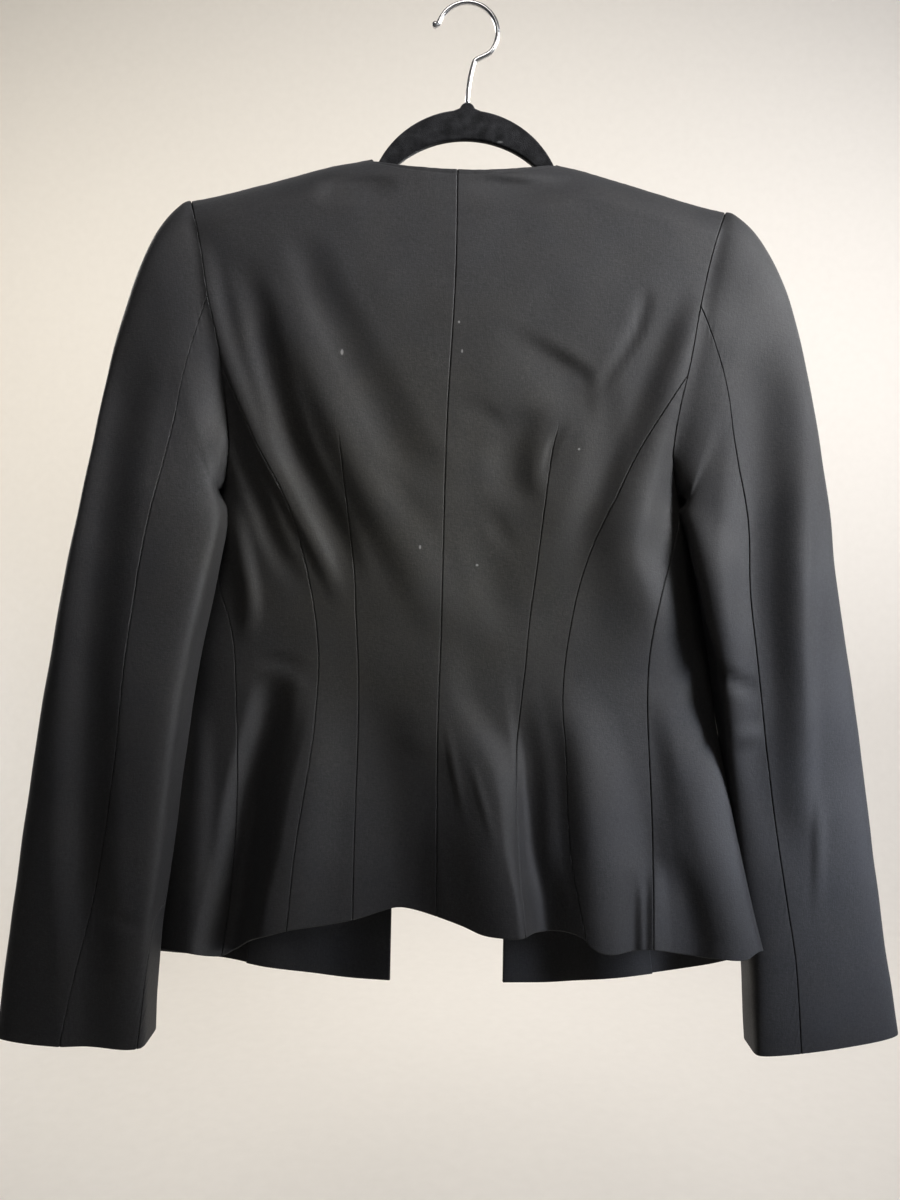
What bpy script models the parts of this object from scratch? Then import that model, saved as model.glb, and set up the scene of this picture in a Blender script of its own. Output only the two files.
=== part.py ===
"""A black collarless blazer with a flared peplum, hung open on a slim flocked hanger.

Metres, +Z up. The jacket's back faces -Y and its open front +Y, so +X is the wearer's right.
The origin is the inside top of the hanger's hook, where a rail would carry it.
"""
import math
from collections import namedtuple

import bmesh
import bpy
from mathutils import Vector

# Cloth and seams
CLOTH = 0.0014
SEAM_GAP = 0.0003

# Outline sizes are read in the hanger's plane, from a point this far behind it and this far below the hook
SIGHT_DISTANCE = 0.644
SIGHT_HEIGHT = -0.425
JACKET_X = -0.005

# Neck, shoulder and armhole
NECK_CENTRE = 0.0035
NECK_HALF = 0.0670
NECK_DROP = 0.005
NECK_CORNER = -0.112
SHOULDER_ROUND = 0.026
PRINCESS_TOP = -0.262
UNDERARM_TURN = -0.310
UNDERARM = -0.350

# True heights of the hem over the turn round the body, in degrees from the centre back
Hem = namedtuple("Hem", "turn left right")
HEM = (
    Hem(0, -0.6415, -0.6415),
    Hem(8, -0.6370, -0.6480),
    Hem(16, -0.6400, -0.6470),
    Hem(24, -0.6435, -0.6530),
    Hem(32, -0.6520, -0.6545),
    Hem(40, -0.6650, -0.6585),
    Hem(50, -0.6695, -0.6650),
    Hem(64, -0.6730, -0.6690),
    Hem(90, -0.6790, -0.6680),
    Hem(124, -0.6920, -0.6870),
    Hem(150, -0.7020, -0.7030),
    Hem(180, -0.7130, -0.7130),
)
HEM_SEEN = -0.676

# Sections of the body: half widths as seen, depths at the centre back, at the front and at the side edges,
# and how evenly each half rounds between them (the lower, the squarer)
Section = namedtuple("Section", "height left right back front edge_left edge_right full_back full_front")
SECTIONS = (
    Section(-0.095, 0.218, 0.218, -0.024, 0.020, 0.000, 0.000, 0.50, 0.50),
    Section(-0.150, 0.210, 0.210, -0.029, 0.026, 0.000, 0.000, 0.50, 0.50),
    Section(-0.210, 0.198, 0.198, -0.034, 0.030, 0.002, 0.001, 0.52, 0.55),
    Section(-0.280, 0.181, 0.179, -0.035, 0.032, 0.004, 0.003, 0.58, 0.60),
    Section(-0.350, 0.165, 0.164, -0.033, 0.033, 0.006, 0.005, 0.68, 0.70),
    Section(-0.376, 0.168, 0.173, -0.031, 0.032, 0.007, 0.007, 0.73, 0.75),
    Section(-0.400, 0.173, 0.181, -0.030, 0.031, 0.008, 0.010, 0.78, 0.80),
    Section(-0.430, 0.180, 0.187, -0.029, 0.030, 0.009, 0.009, 0.82, 0.90),
    Section(-0.465, 0.187, 0.187, -0.028, 0.029, 0.009, 0.004, 0.85, 1.00),
    Section(-0.500, 0.189, 0.188, -0.028, 0.029, 0.009, 0.000, 0.85, 1.10),
    Section(-0.535, 0.195, 0.192, -0.030, 0.030, 0.008, -0.004, 0.85, 1.20),
    Section(-0.575, 0.203, 0.203, -0.034, 0.032, 0.007, -0.008, 0.85, 1.30),
    Section(-0.620, 0.212, 0.216, -0.039, 0.034, 0.006, -0.010, 0.85, 1.30),
    Section(-0.700, 0.226, 0.237, -0.045, 0.036, 0.005, -0.011, 0.85, 1.30),
)

# Height of the shoulder line over the width; inside the neck it is where the line would run on
Place = namedtuple("Place", "across height")
SHOULDER_LINE = (
    Place(0.000, -0.098),
    Place(0.040, -0.106),
    Place(0.065, -0.112),
    Place(0.090, -0.117),
    Place(0.125, -0.127),
    Place(0.160, -0.137),
    Place(0.192, -0.1445),
    Place(0.230, -0.153),
)

# Seam lines as seen from behind
CENTRE_BACK = (
    Place(-0.001, -0.117),
    Place(-0.001, -0.193),
    Place(-0.005, -0.303),
    Place(-0.006, -0.450),
    Place(-0.007, -0.520),
    Place(-0.005, -0.650),
)
SeamPair = namedtuple("SeamPair", "height left right")
ARMHOLE = (
    SeamPair(-0.144, -0.191, 0.191),
    SeamPair(-0.176, -0.184, 0.182),
    SeamPair(-0.211, -0.178, 0.175),
    SeamPair(-0.250, -0.169, 0.169),
    SeamPair(-0.283, -0.164, 0.162),
    SeamPair(-0.318, -0.160, 0.157),
)
PRINCESS = (
    SeamPair(-0.262, -0.167, 0.166),
    SeamPair(-0.314, -0.142, 0.134),
    SeamPair(-0.350, -0.122, 0.117),
    SeamPair(-0.380, -0.110, 0.103),
    SeamPair(-0.410, -0.102, 0.093),
    SeamPair(-0.440, -0.096, 0.087),
    SeamPair(-0.470, -0.093, 0.083),
    SeamPair(-0.500, -0.094, 0.082),
    SeamPair(-0.535, -0.097, 0.085),
    SeamPair(-0.605, -0.107, 0.090),
    SeamPair(-0.664, -0.112, 0.102),
)
SIDE = (
    SeamPair(-0.350, -0.165, 0.164),
    SeamPair(-0.370, -0.166, 0.162),
    SeamPair(-0.390, -0.167, 0.158),
    SeamPair(-0.415, -0.166, 0.152),
    SeamPair(-0.445, -0.157, 0.146),
    SeamPair(-0.470, -0.153, 0.143),
    SeamPair(-0.507, -0.151, 0.143),
    SeamPair(-0.570, -0.149, 0.147),
    SeamPair(-0.637, -0.152, 0.150),
    SeamPair(-0.684, -0.158, 0.151),
)
FRONT_EDGE = (
    SeamPair(-0.112, -0.062, 0.069),
    SeamPair(-0.200, -0.057, 0.062),
    SeamPair(-0.330, -0.046, 0.050),
    SeamPair(-0.480, -0.038, 0.043),
    SeamPair(-0.700, -0.037, 0.043),
)
FACING_EDGE = (
    SeamPair(-0.112, -0.105, 0.107),
    SeamPair(-0.200, -0.112, 0.114),
    SeamPair(-0.330, -0.112, 0.116),
    SeamPair(-0.480, -0.118, 0.124),
    SeamPair(-0.700, -0.140, 0.150),
)

# Folds: a line from start to end, with its half width and its rise at both ends.
# A ridge has a rise over zero and a trough one under zero. Each fades in over a share of its length,
# and all fade out towards the body's side edges.
FOLD_FADE = 0.25
EDGE_FADE = 0.20
Fold = namedtuple("Fold", "start_x start_z end_x end_z start_width end_width start_rise end_rise")
BACK_FOLDS = (
    Fold(-0.145, -0.184, -0.088, -0.335, 0.020, 0.024, -0.003, -0.004),
    Fold(-0.119, -0.180, -0.072, -0.300, 0.020, 0.022, 0.003, 0.002),
    Fold(0.077, -0.235, 0.077, -0.265, 0.026, 0.026, -0.003, -0.003),
    Fold(0.138, -0.199, 0.094, -0.285, 0.018, 0.020, 0.002, 0.003),
    Fold(0.156, -0.225, 0.120, -0.345, 0.016, 0.018, -0.003, -0.003),
    Fold(0.140, -0.370, 0.137, -0.405, 0.020, 0.024, 0.003, 0.005),
    Fold(0.174, -0.390, 0.182, -0.505, 0.022, 0.030, -0.006, -0.008),
    Fold(-0.101, -0.486, -0.134, -0.690, 0.016, 0.032, -0.006, -0.024),
    Fold(-0.092, -0.470, -0.104, -0.690, 0.026, 0.036, 0.001, 0.014),
    Fold(-0.012, -0.480, -0.022, -0.690, 0.034, 0.050, -0.001, -0.014),
    Fold(0.050, -0.500, 0.062, -0.690, 0.026, 0.030, 0.001, 0.016),
    Fold(0.081, -0.490, 0.085, -0.690, 0.020, 0.036, -0.002, -0.024),
    Fold(0.108, -0.470, 0.121, -0.690, 0.034, 0.038, 0.001, 0.018),
    Fold(0.138, -0.570, 0.144, -0.690, 0.016, 0.022, -0.001, -0.008),
    Fold(0.148, -0.465, 0.160, -0.690, 0.020, 0.026, 0.002, 0.006),
    Fold(0.153, -0.520, 0.186, -0.690, 0.018, 0.034, -0.002, -0.012),
    Fold(-0.152, -0.490, -0.163, -0.690, 0.026, 0.032, 0.001, 0.009),
    Fold(-0.185, -0.530, -0.192, -0.690, 0.022, 0.030, -0.001, -0.006),
)
FRONT_FOLDS = (
    Fold(-0.150, -0.470, -0.178, -0.720, 0.030, 0.042, 0.001, 0.010),
    Fold(-0.105, -0.470, -0.122, -0.720, 0.030, 0.042, -0.001, -0.012),
    Fold(-0.060, -0.480, -0.070, -0.720, 0.030, 0.038, 0.001, 0.010),
    Fold(0.065, -0.480, 0.072, -0.720, 0.030, 0.038, 0.001, 0.009),
    Fold(0.108, -0.470, 0.122, -0.720, 0.030, 0.042, -0.001, -0.013),
    Fold(0.150, -0.470, 0.176, -0.720, 0.030, 0.042, 0.001, 0.011),
)

# Rings of the sleeves, from the armhole to the cuff: outer and inner edge as seen and their depths,
# half the sleeve's thickness, and the angles of its back and inner seams in degrees from the outer edge
Ring = namedtuple("Ring", "outer_x outer_z outer_y inner_x inner_z inner_y half back_seam inner_seam")
LEFT_SLEEVE = (
    Ring(-0.191, -0.144, 0.000, -0.165, -0.350, 0.006, 0.022, 70, 243),
    Ring(-0.203, -0.152, -0.004, -0.175, -0.354, -0.006, 0.025, 75, 240),
    Ring(-0.217, -0.175, -0.008, -0.172, -0.357, -0.014, 0.028, 89, 237),
    Ring(-0.231, -0.216, -0.012, -0.165, -0.360, -0.020, 0.029, 98, 234),
    Ring(-0.247, -0.278, -0.016, -0.162, -0.366, -0.023, 0.029, 97, 230),
    Ring(-0.260, -0.350, -0.020, -0.163, -0.380, -0.024, 0.028, 96, 225),
    Ring(-0.269, -0.405, -0.022, -0.169, -0.411, -0.024, 0.027, 99, 220),
    Ring(-0.279, -0.475, -0.024, -0.182, -0.478, -0.026, 0.026, 103, 212),
    Ring(-0.288, -0.540, -0.024, -0.190, -0.540, -0.028, 0.026, 104, 202),
    Ring(-0.297, -0.610, -0.024, -0.198, -0.612, -0.030, 0.025, 103, 190),
    Ring(-0.304, -0.672, -0.018, -0.205, -0.676, -0.032, 0.024, 96, 174),
    Ring(-0.312, -0.737, -0.014, -0.2075, -0.743, -0.034, 0.022, 90, 158),
)
RIGHT_SLEEVE = (
    Ring(0.191, -0.144, 0.000, 0.164, -0.350, 0.005, 0.022, 70, 243),
    Ring(0.203, -0.150, -0.004, 0.178, -0.354, -0.006, 0.025, 75, 240),
    Ring(0.218, -0.170, -0.008, 0.174, -0.356, -0.014, 0.028, 89, 237),
    Ring(0.236, -0.211, -0.012, 0.166, -0.358, -0.020, 0.029, 101, 234),
    Ring(0.251, -0.272, -0.014, 0.162, -0.363, -0.023, 0.029, 101, 231),
    Ring(0.265, -0.352, -0.014, 0.166, -0.377, -0.024, 0.028, 104, 228),
    Ring(0.272, -0.412, -0.010, 0.179, -0.416, -0.022, 0.027, 110, 225),
    Ring(0.282, -0.475, -0.002, 0.192, -0.480, -0.014, 0.026, 116, 222),
    Ring(0.291, -0.535, 0.007, 0.201, -0.540, -0.003, 0.026, 118, 220),
    Ring(0.301, -0.605, 0.014, 0.209, -0.612, 0.007, 0.025, 117, 216),
    Ring(0.311, -0.668, 0.019, 0.216, -0.676, 0.010, 0.024, 115, 212),
    Ring(0.3215, -0.723, 0.020, 0.220, -0.740, 0.007, 0.021, 117, 208),
)
SLEEVE_HEAD_RINGS = 3

# Hanger
HANGER_HALF = 0.0026
HANGER_EDGE = 0.0016
ARCH_HALF = 0.0607
ARCH_TOP = -0.0757
ARCH_INSIDE_HALF = 0.046
ARCH_INSIDE_TOP = -0.0970
ARCH_FOOT = -0.118
ARCH_INSIDE_FOOT = -0.128
BOSS_RADIUS = 0.0055
BOSS_TOP = -0.0705
ARM_START = 0.078
ARM_END = 0.176
ARM_DEPTH = 0.020
ARM_END_DEPTH = 0.011
ARM_CLEARANCE = 0.0015

# Hook
WIRE = 0.0017
HOOK_RADIUS = 0.0216
HOOK_CENTRE_X = -0.001
HOOK_SWEEP = (165, -38)
HOOK_KINK = Place(0.0042, -0.041)
BALL_SHAPE = ((2.6, 0.5), (2.2, 1.2), (1.4, 1.55), (0.6, 1.2))

# Facets: rows above the curved back seam's start, from there to the underarm, and below it.
# The seam rows are the body's rows at which the sleeve's seams meet the armhole.
UPPER_ROWS = 8
ARM_ROWS = 3
LOWER_ROWS = 12
BACK_COLUMNS = 10
SIDE_BACK_COLUMNS = 7
FRONT_COLUMNS = 8
FACING_COLUMNS = 4
SLEEVE_ROWS = 16
FACING_FIRST_ROW = 4
BACK_SEAM_ROW = 6
INNER_SEAM_ROW = 9
APEX = 0.12

SETTLE_ROUNDS = 12
SMOOTH_ANGLE = 50

SIDES = (("left", -1, LEFT_SLEEVE), ("right", 1, RIGHT_SLEEVE))


def hermite(start, end, start_slope, end_slope, t):
    """Cubic between two values with the given slopes, each over the whole step."""
    return ((2 * t ** 3 - 3 * t ** 2 + 1) * start + (t ** 3 - 2 * t ** 2 + t) * start_slope
            + (3 * t ** 2 - 2 * t ** 3) * end + (t ** 3 - t ** 2) * end_slope)


def smooth_read(keys, values, at):
    """Value at a place on a smooth curve through a table's column. The ends run on level."""
    rising = 1 if keys[-1] > keys[0] else -1
    if (at - keys[0]) * rising <= 0:
        return values[0]
    if (at - keys[-1]) * rising >= 0:
        return values[-1]
    step = 0
    while (keys[step + 1] - at) * rising < 0:
        step += 1
    span = keys[step + 1] - keys[step]

    def slope(i):
        low = max(i - 1, 0)
        high = min(i + 1, len(keys) - 1)
        return (values[high] - values[low]) / (keys[high] - keys[low]) * span

    t = (at - keys[step]) / span
    return hermite(values[step], values[step + 1], slope(step), slope(step + 1), t)


def read(table, column, at, key="height"):
    keys = [getattr(row, key) for row in table]
    values = [getattr(row, column) for row in table]
    return smooth_read(keys, values, at)


def read_ring(table, column, at):
    return smooth_read(range(len(table)), [getattr(row, column) for row in table], at)


def clamp(value, low=0.0, high=1.0):
    return max(low, min(high, value))


def ease(t):
    t = clamp(t)
    return t * t * (3 - 2 * t)


def mix(a, b, t):
    return a + (b - a) * t


def along_sight(x, y, z):
    """Point at depth y on the line of sight through (x, z) in the hanger's plane."""
    scale = (SIGHT_DISTANCE + y) / SIGHT_DISTANCE
    return Vector((JACKET_X + x * scale, y, SIGHT_HEIGHT + (z - SIGHT_HEIGHT) * scale))


def fold_rise(folds, x, z):
    """How far the folds lift the cloth at (x, z). Those that end above the hem fade out."""
    rise = 0.0
    for fold in folds:
        along = (fold.start_z - z) / (fold.start_z - fold.end_z)
        if along <= 0 or along >= 1:
            continue
        offset = abs(x - mix(fold.start_x, fold.end_x, along))
        width = mix(fold.start_width, fold.end_width, along)
        if offset < width:
            across = 0.5 + 0.5 * math.cos(math.pi * offset / width)
            ends = ease(along / FOLD_FADE)
            if fold.end_z > HEM_SEEN:
                ends *= ease((1 - along) / FOLD_FADE)
            rise += mix(fold.start_rise, fold.end_rise, along) * across * ends
    return rise


def shoulder_height(x):
    return read(SHOULDER_LINE, "height", abs(x), "across")


def half_width(angle, z):
    return read(SECTIONS, "right" if angle > 0 else "left", z)


def body_seen(angle, z):
    """Body surface as seen: angle 0 is the centre back, a right angle the side edge."""
    x = half_width(angle, z) * math.sin(angle)
    edge = read(SECTIONS, "edge_right" if angle > 0 else "edge_left", z)
    at_back = abs(angle) < math.pi / 2
    half = "back" if at_back else "front"
    depth = mix(edge, read(SECTIONS, half, z), abs(math.cos(angle)) ** read(SECTIONS, "full_" + half, z))
    drop = clamp((shoulder_height(x) - z) / SHOULDER_ROUND)
    depth *= math.sqrt(1 - (1 - drop) ** 2)
    fade = ease(abs(math.cos(angle)) / EDGE_FADE)
    if at_back:
        depth -= fold_rise(BACK_FOLDS, x, z) * fade
    else:
        depth += fold_rise(FRONT_FOLDS, x, z) * fade
    return x, depth, z


def body(angle, z):
    return along_sight(*body_seen(angle, z))


def body_normal(angle, z):
    """Outward normal of the body surface. On the shoulder line it points straight up."""
    turn = 0.004
    lift = 0.0008
    across = body(angle + turn, z) - body(angle - turn, z)
    down = body(angle, z - lift) - body(angle, z + lift)
    normal = down.cross(across)
    if shoulder_height(body_seen(angle, z)[0]) - z < lift / 4:
        normal.y = 0
    return normal.normalized()


def angle_at(x, z, front=False):
    """Angle round the body of the point seen at x."""
    angle = math.asin(clamp(x / half_width(x, z), -1, 1))
    if front:
        angle = math.copysign(math.pi, x) - angle
    return angle


def armhole_x(side, sign, z):
    """Armhole seam as seen, turning out to the side edge under the arm."""
    turn = clamp((UNDERARM_TURN - z) / (UNDERARM_TURN - UNDERARM))
    seam = read(ARMHOLE, side, z)
    return mix(seam, sign * half_width(sign, z), 1 - math.sqrt(1 - turn ** 2))


def neck_height(x):
    """Back neckline, a shallow curve between the neck points, and the shoulder line outside them."""
    across = (x - NECK_CENTRE) / NECK_HALF
    if abs(across) > 1:
        return shoulder_height(x)
    return NECK_CORNER - NECK_DROP * (1 - across ** 2)


def hem_height(angle):
    """True height of the hem round the body."""
    return read(HEM, "right" if angle > 0 else "left", math.degrees(abs(angle)), "turn")


def seen_hem(angle_line):
    """Height in the hanger's plane at which a line of the cloth reaches the hem."""
    z = HEM_SEEN
    for _ in range(SETTLE_ROUNDS):
        angle = angle_line(z)
        depth = body_seen(angle, z)[1]
        z = SIGHT_HEIGHT + (hem_height(angle) - SIGHT_HEIGHT) * SIGHT_DISTANCE / (SIGHT_DISTANCE + depth)
    return z


def seen_top(angle_line, top_line):
    """Height at which a line of the cloth starts, on a top line given over the width."""
    z = NECK_CORNER
    for _ in range(SETTLE_ROUNDS):
        z = top_line(half_width(angle_line(z), z) * math.sin(angle_line(z)))
    return z


def upper_heights(top):
    """Heights from the shoulder down to the underarm, crowded at the shoulder."""
    heights = [mix(top, PRINCESS_TOP, (row / UPPER_ROWS) ** 2) for row in range(UPPER_ROWS)]
    return heights + [mix(PRINCESS_TOP, UNDERARM, row / ARM_ROWS) for row in range(ARM_ROWS)]


def body_panel(lines, top_line=None):
    """Outer and inner grid of a panel with one column for each line, row by row from the top.

    Without a top line the panel starts in a point, where the curved back seam leaves the armhole.
    """
    columns = []
    for line in lines:
        top = seen_top(line, top_line) if top_line else PRINCESS_TOP
        hem = seen_hem(line)
        heights = upper_heights(top)[0 if top_line else UPPER_ROWS:]
        heights += [mix(UNDERARM, hem, row / LOWER_ROWS) for row in range(LOWER_ROWS + 1)]
        columns.append([(line(z), z) for z in heights])
    outside = []
    inside = []
    for places in zip(*columns):
        points = [body(*place) for place in places]
        normals = [body_normal(*place) for place in places]
        outside.append(points)
        inside.append(moved(points, normals, -CLOTH))
    if not top_line:
        for layer in (outside, inside):
            layer[0] = [above.lerp(below, APEX) for above, below in zip(layer[0], layer[1])]
    return outside, inside


def moved(points, normals, distance):
    return [point + normal * distance for point, normal in zip(points, normals)]


def lines_between(first, last, columns):
    """Lines of the cloth, evenly spread from one boundary to another."""
    def line_at(across):
        return lambda z: mix(first(z), last(z), across)

    return [line_at(column / columns) for column in range(columns + 1)]


def draw_in(layers, sides, distance):
    """Move the named edges of a panel inwards to leave room for the seam."""
    for layer in layers:
        if "top" in sides:
            for column, below in enumerate(layer[1]):
                step = (below - layer[0][column]).normalized()
                layer[0][column] = layer[0][column] + step * distance
        for line in layer:
            first = (line[1] - line[0]).normalized() * distance
            last = (line[-2] - line[-1]).normalized() * distance
            if "first" in sides:
                line[0] = line[0] + first
            if "last" in sides:
                line[-1] = line[-1] + last


def material(name, colour, roughness, metallic=0.0):
    made = bpy.data.materials.new(name)
    made.use_nodes = True
    shader = made.node_tree.nodes["Principled BSDF"]
    shader.inputs["Base Color"].default_value = (*colour, 1.0)
    shader.inputs["Roughness"].default_value = roughness
    shader.inputs["Metallic"].default_value = metallic
    return made


def add_object(name, data, finish):
    thing = bpy.data.objects.new(name, data)
    data.materials.append(finish)
    bpy.context.scene.collection.objects.link(thing)
    return thing


def add_wall(name, layers, finish):
    """Closed wall of cloth from its outer and inner grids."""
    shape = bmesh.new()
    outside, inside = [[[shape.verts.new(point) for point in line] for line in layer] for layer in layers]
    rows = len(outside) - 1
    columns = len(outside[0]) - 1
    for row in range(rows):
        for column in range(columns):
            for layer, order in ((outside, (0, 1, 2, 3)), (inside, (3, 2, 1, 0))):
                corners = (layer[row][column], layer[row + 1][column],
                           layer[row + 1][column + 1], layer[row][column + 1])
                shape.faces.new([corners[place] for place in order])
    rim = [((row, column), (row, column + 1)) for row in (0, rows) for column in range(columns)]
    rim += [((row, column), (row + 1, column)) for column in (0, columns) for row in range(rows)]
    for (row, column), (next_row, next_column) in rim:
        near = outside[row][column]
        far = inside[next_row][next_column]
        shape.faces.new((near, outside[next_row][next_column], far))
        shape.faces.new((near, far, inside[row][column]))
    bmesh.ops.recalc_face_normals(shape, faces=shape.faces)
    bmesh.ops.triangulate(shape, faces=shape.faces)
    mesh = bpy.data.meshes.new(name)
    shape.to_mesh(mesh)
    shape.free()
    mesh.shade_smooth()
    mesh.set_sharp_from_angle(angle=math.radians(SMOOTH_ANGLE))
    return add_object(name, mesh, finish)


def seam_angle(table, side, front=False):
    """Angle of a seam round the body as a function of height."""
    return lambda z: angle_at(read(table, side, z), z, front)


def centre_back_angle(z):
    return angle_at(read(CENTRE_BACK, "across", z), z)


def armhole_angle(side, sign, front):
    return lambda z: angle_at(armhole_x(side, sign, z), z, front)


def joined(upper, lower, height):
    """One boundary that follows the first line down to a height and the second one below it."""
    return lambda z: upper(z) if z > height else lower(z)


def facing_layers(front):
    """Facing that lies inside a front, made from the front's own points."""
    outside, inside = front
    near = []
    far = []
    for outer_line, inner_line in list(zip(outside, inside))[FACING_FIRST_ROW:]:
        outer_line = outer_line[-FACING_COLUMNS - 1:]
        inner_line = inner_line[-FACING_COLUMNS - 1:]
        inward = [(inner - outer).normalized() for outer, inner in zip(outer_line, inner_line)]
        near.append(moved(inner_line, inward, SEAM_GAP))
        far.append(moved(inner_line, inward, SEAM_GAP + CLOTH))
    return near, far


def add_body(side, sign, finish):
    """Back, side back, front and facing of one half."""
    armhole_back = armhole_angle(side, sign, False)
    armhole_front = armhole_angle(side, sign, True)
    princess = seam_angle(PRINCESS, side)
    side_seam = seam_angle(SIDE, side)
    facing_edge = seam_angle(FACING_EDGE, side, front=True)
    front_edge = seam_angle(FRONT_EDGE, side, front=True)

    back_outer = joined(armhole_back, princess, PRINCESS_TOP)
    back = body_panel(lines_between(centre_back_angle, back_outer, BACK_COLUMNS), neck_height)
    draw_in(back, ("first", "last", "top"), SEAM_GAP / 2)
    add_wall("back_" + side, back, finish)

    side_back_outer = joined(armhole_back, side_seam, UNDERARM)
    side_back = body_panel(lines_between(princess, side_back_outer, SIDE_BACK_COLUMNS))
    draw_in(side_back, ("first", "last"), SEAM_GAP / 2)
    add_wall("side_back_" + side, side_back, finish)

    front_outer = joined(armhole_front, side_seam, UNDERARM)
    front_lines = lines_between(front_outer, facing_edge, FRONT_COLUMNS)
    front_lines += lines_between(facing_edge, front_edge, FACING_COLUMNS)[1:]
    front = body_panel(front_lines, shoulder_height)
    facing = facing_layers(front)
    draw_in(front, ("first", "top"), SEAM_GAP / 2)
    add_wall("front_" + side, front, finish)
    add_wall("facing_" + side, facing, finish)


def armhole_turn(z, top):
    """Turn round the armhole of a height on its back half."""
    return math.acos(clamp(1 - 2 * (z - top) / (UNDERARM - top), -1, 1))


def armhole_top(side, sign):
    return seen_top(armhole_angle(side, sign, False), shoulder_height)


def armhole_place(side, sign, turn):
    """Place on the armhole loop: 0 is the shoulder, a half turn the underarm, the back comes first."""
    z = mix(armhole_top(side, sign), UNDERARM, 0.5 - 0.5 * math.cos(turn))
    front = turn % (2 * math.pi) > math.pi
    return angle_at(armhole_x(side, sign, z), z, front), z


def armhole_point(side, sign, turn):
    return body(*armhole_place(side, sign, turn))


def armhole_normal(side, sign, turn):
    return body_normal(*armhole_place(side, sign, turn))


def sleeve_point(table, side, sign, at, turn):
    """Point of a sleeve: at runs along its rings, turn goes round from its outer edge over the back."""
    outer = along_sight(*(read_ring(table, "outer_" + axis, at) for axis in "xyz"))
    inner = along_sight(*(read_ring(table, "inner_" + axis, at) for axis in "xyz"))
    ring = (outer + inner) / 2 + (outer - inner) / 2 * math.cos(turn)
    ring.y -= read_ring(table, "half", at) * math.sin(turn)
    if at >= SLEEVE_HEAD_RINGS:
        return ring
    return armhole_point(side, sign, turn).lerp(ring, ease(at / SLEEVE_HEAD_RINGS))


def sleeve_normal(table, side, sign, at, turn):
    reach = 0.5
    step = 0.02
    last = len(table) - 1
    along = (sleeve_point(table, side, sign, min(at + reach, last), turn)
             - sleeve_point(table, side, sign, max(at - reach, 0), turn))
    across = (sleeve_point(table, side, sign, at, turn + step)
              - sleeve_point(table, side, sign, at, turn - step))
    return across.cross(along).normalized() * sign


def sleeve_panel(table, side, sign, armhole_turns, first_seam, last_seam):
    """Grid of a sleeve piece. At the armhole its columns meet the rows of the body's panels."""
    columns = len(armhole_turns) - 1
    outside = []
    inside = []
    for row in range(SLEEVE_ROWS + 1):
        at = (len(table) - 1) * row / SLEEVE_ROWS
        even = [mix(first_seam(at), last_seam(at), column / columns) for column in range(columns + 1)]
        turns = [mix(start, turn, ease(at / 2)) for start, turn in zip(armhole_turns, even)]
        points = [sleeve_point(table, side, sign, at, turn) for turn in turns]
        normals = [sleeve_normal(table, side, sign, at, turn) for turn in turns]
        if row == 0:
            normals = [armhole_normal(side, sign, turn).lerp(normal, 0.5 - 0.5 * math.cos(turn))
                       for turn, normal in zip(turns, normals)]
        outside.append(points)
        inside.append(moved(points, normals, -CLOTH))
    return outside, inside


def add_sleeve(side, sign, table, finish):
    """Top sleeve over the outer edge and under sleeve along the body."""
    def back_seam(at):
        return math.radians(read_ring(table, "back_seam", at))

    def inner_seam(at):
        return math.radians(read_ring(table, "inner_seam", at))

    def inner_seam_before(at):
        return inner_seam(at) - 2 * math.pi

    top_z = armhole_top(side, sign)
    turns = [armhole_turn(z, top_z) for z in upper_heights(top_z)] + [math.pi]
    front_half = [-turn for turn in reversed(turns[1:INNER_SEAM_ROW + 1])]
    top_turns = front_half + turns[:BACK_SEAM_ROW + 1]
    under_turns = turns[BACK_SEAM_ROW:] + [2 * math.pi - turn for turn in reversed(turns[INNER_SEAM_ROW:-1])]
    top = sleeve_panel(table, side, sign, top_turns, inner_seam_before, back_seam)
    under = sleeve_panel(table, side, sign, under_turns, back_seam, inner_seam)
    for name, layers in (("top_sleeve_", top), ("under_sleeve_", under)):
        draw_in(layers, ("first", "last"), SEAM_GAP / 2)
        draw_in(layers, ("top",), SEAM_GAP)
        add_wall(name + side, layers, finish)


def arc(centre, radii, start, end, steps):
    """Points of an elliptic arc between two angles in degrees."""
    points = []
    for step in range(steps + 1):
        angle = math.radians(mix(start, end, step / steps))
        points.append((centre[0] + radii[0] * math.cos(angle), centre[1] + radii[1] * math.sin(angle)))
    return points


def arm_top(x):
    """Top of a hanger arm, just under the cloth of the shoulder."""
    return shoulder_height(x - JACKET_X) - CLOTH - ARM_CLEARANCE


def hanger_outline(sign):
    """Half of the hanger's outline, from the boss down to the middle of the inside of the arch."""
    steps = 6
    points = arc((0, BOSS_TOP - BOSS_RADIUS), (BOSS_RADIUS, BOSS_RADIUS), 90, 15, 4)
    points += arc((0, ARCH_FOOT), (ARCH_HALF, ARCH_TOP - ARCH_FOOT), 80, 0, 9)
    arm = [(x, arm_top(sign * x)) for x in (mix(ARM_START, ARM_END, step / steps) for step in range(steps + 1))]
    points += arm
    points.append((ARM_END + ARM_END_DEPTH / 3, arm_top(sign * ARM_END) - ARM_END_DEPTH / 2))
    for x, top in reversed(arm):
        points.append((x, top - mix(ARM_END_DEPTH, ARM_DEPTH, (ARM_END - x) / (ARM_END - ARM_START))))
    inside = (ARCH_INSIDE_HALF, ARCH_INSIDE_TOP - ARCH_INSIDE_FOOT)
    points += arc((0, ARCH_INSIDE_FOOT), inside, 10, 90, 8)
    return [(sign * x, z) for x, z in points]


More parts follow.
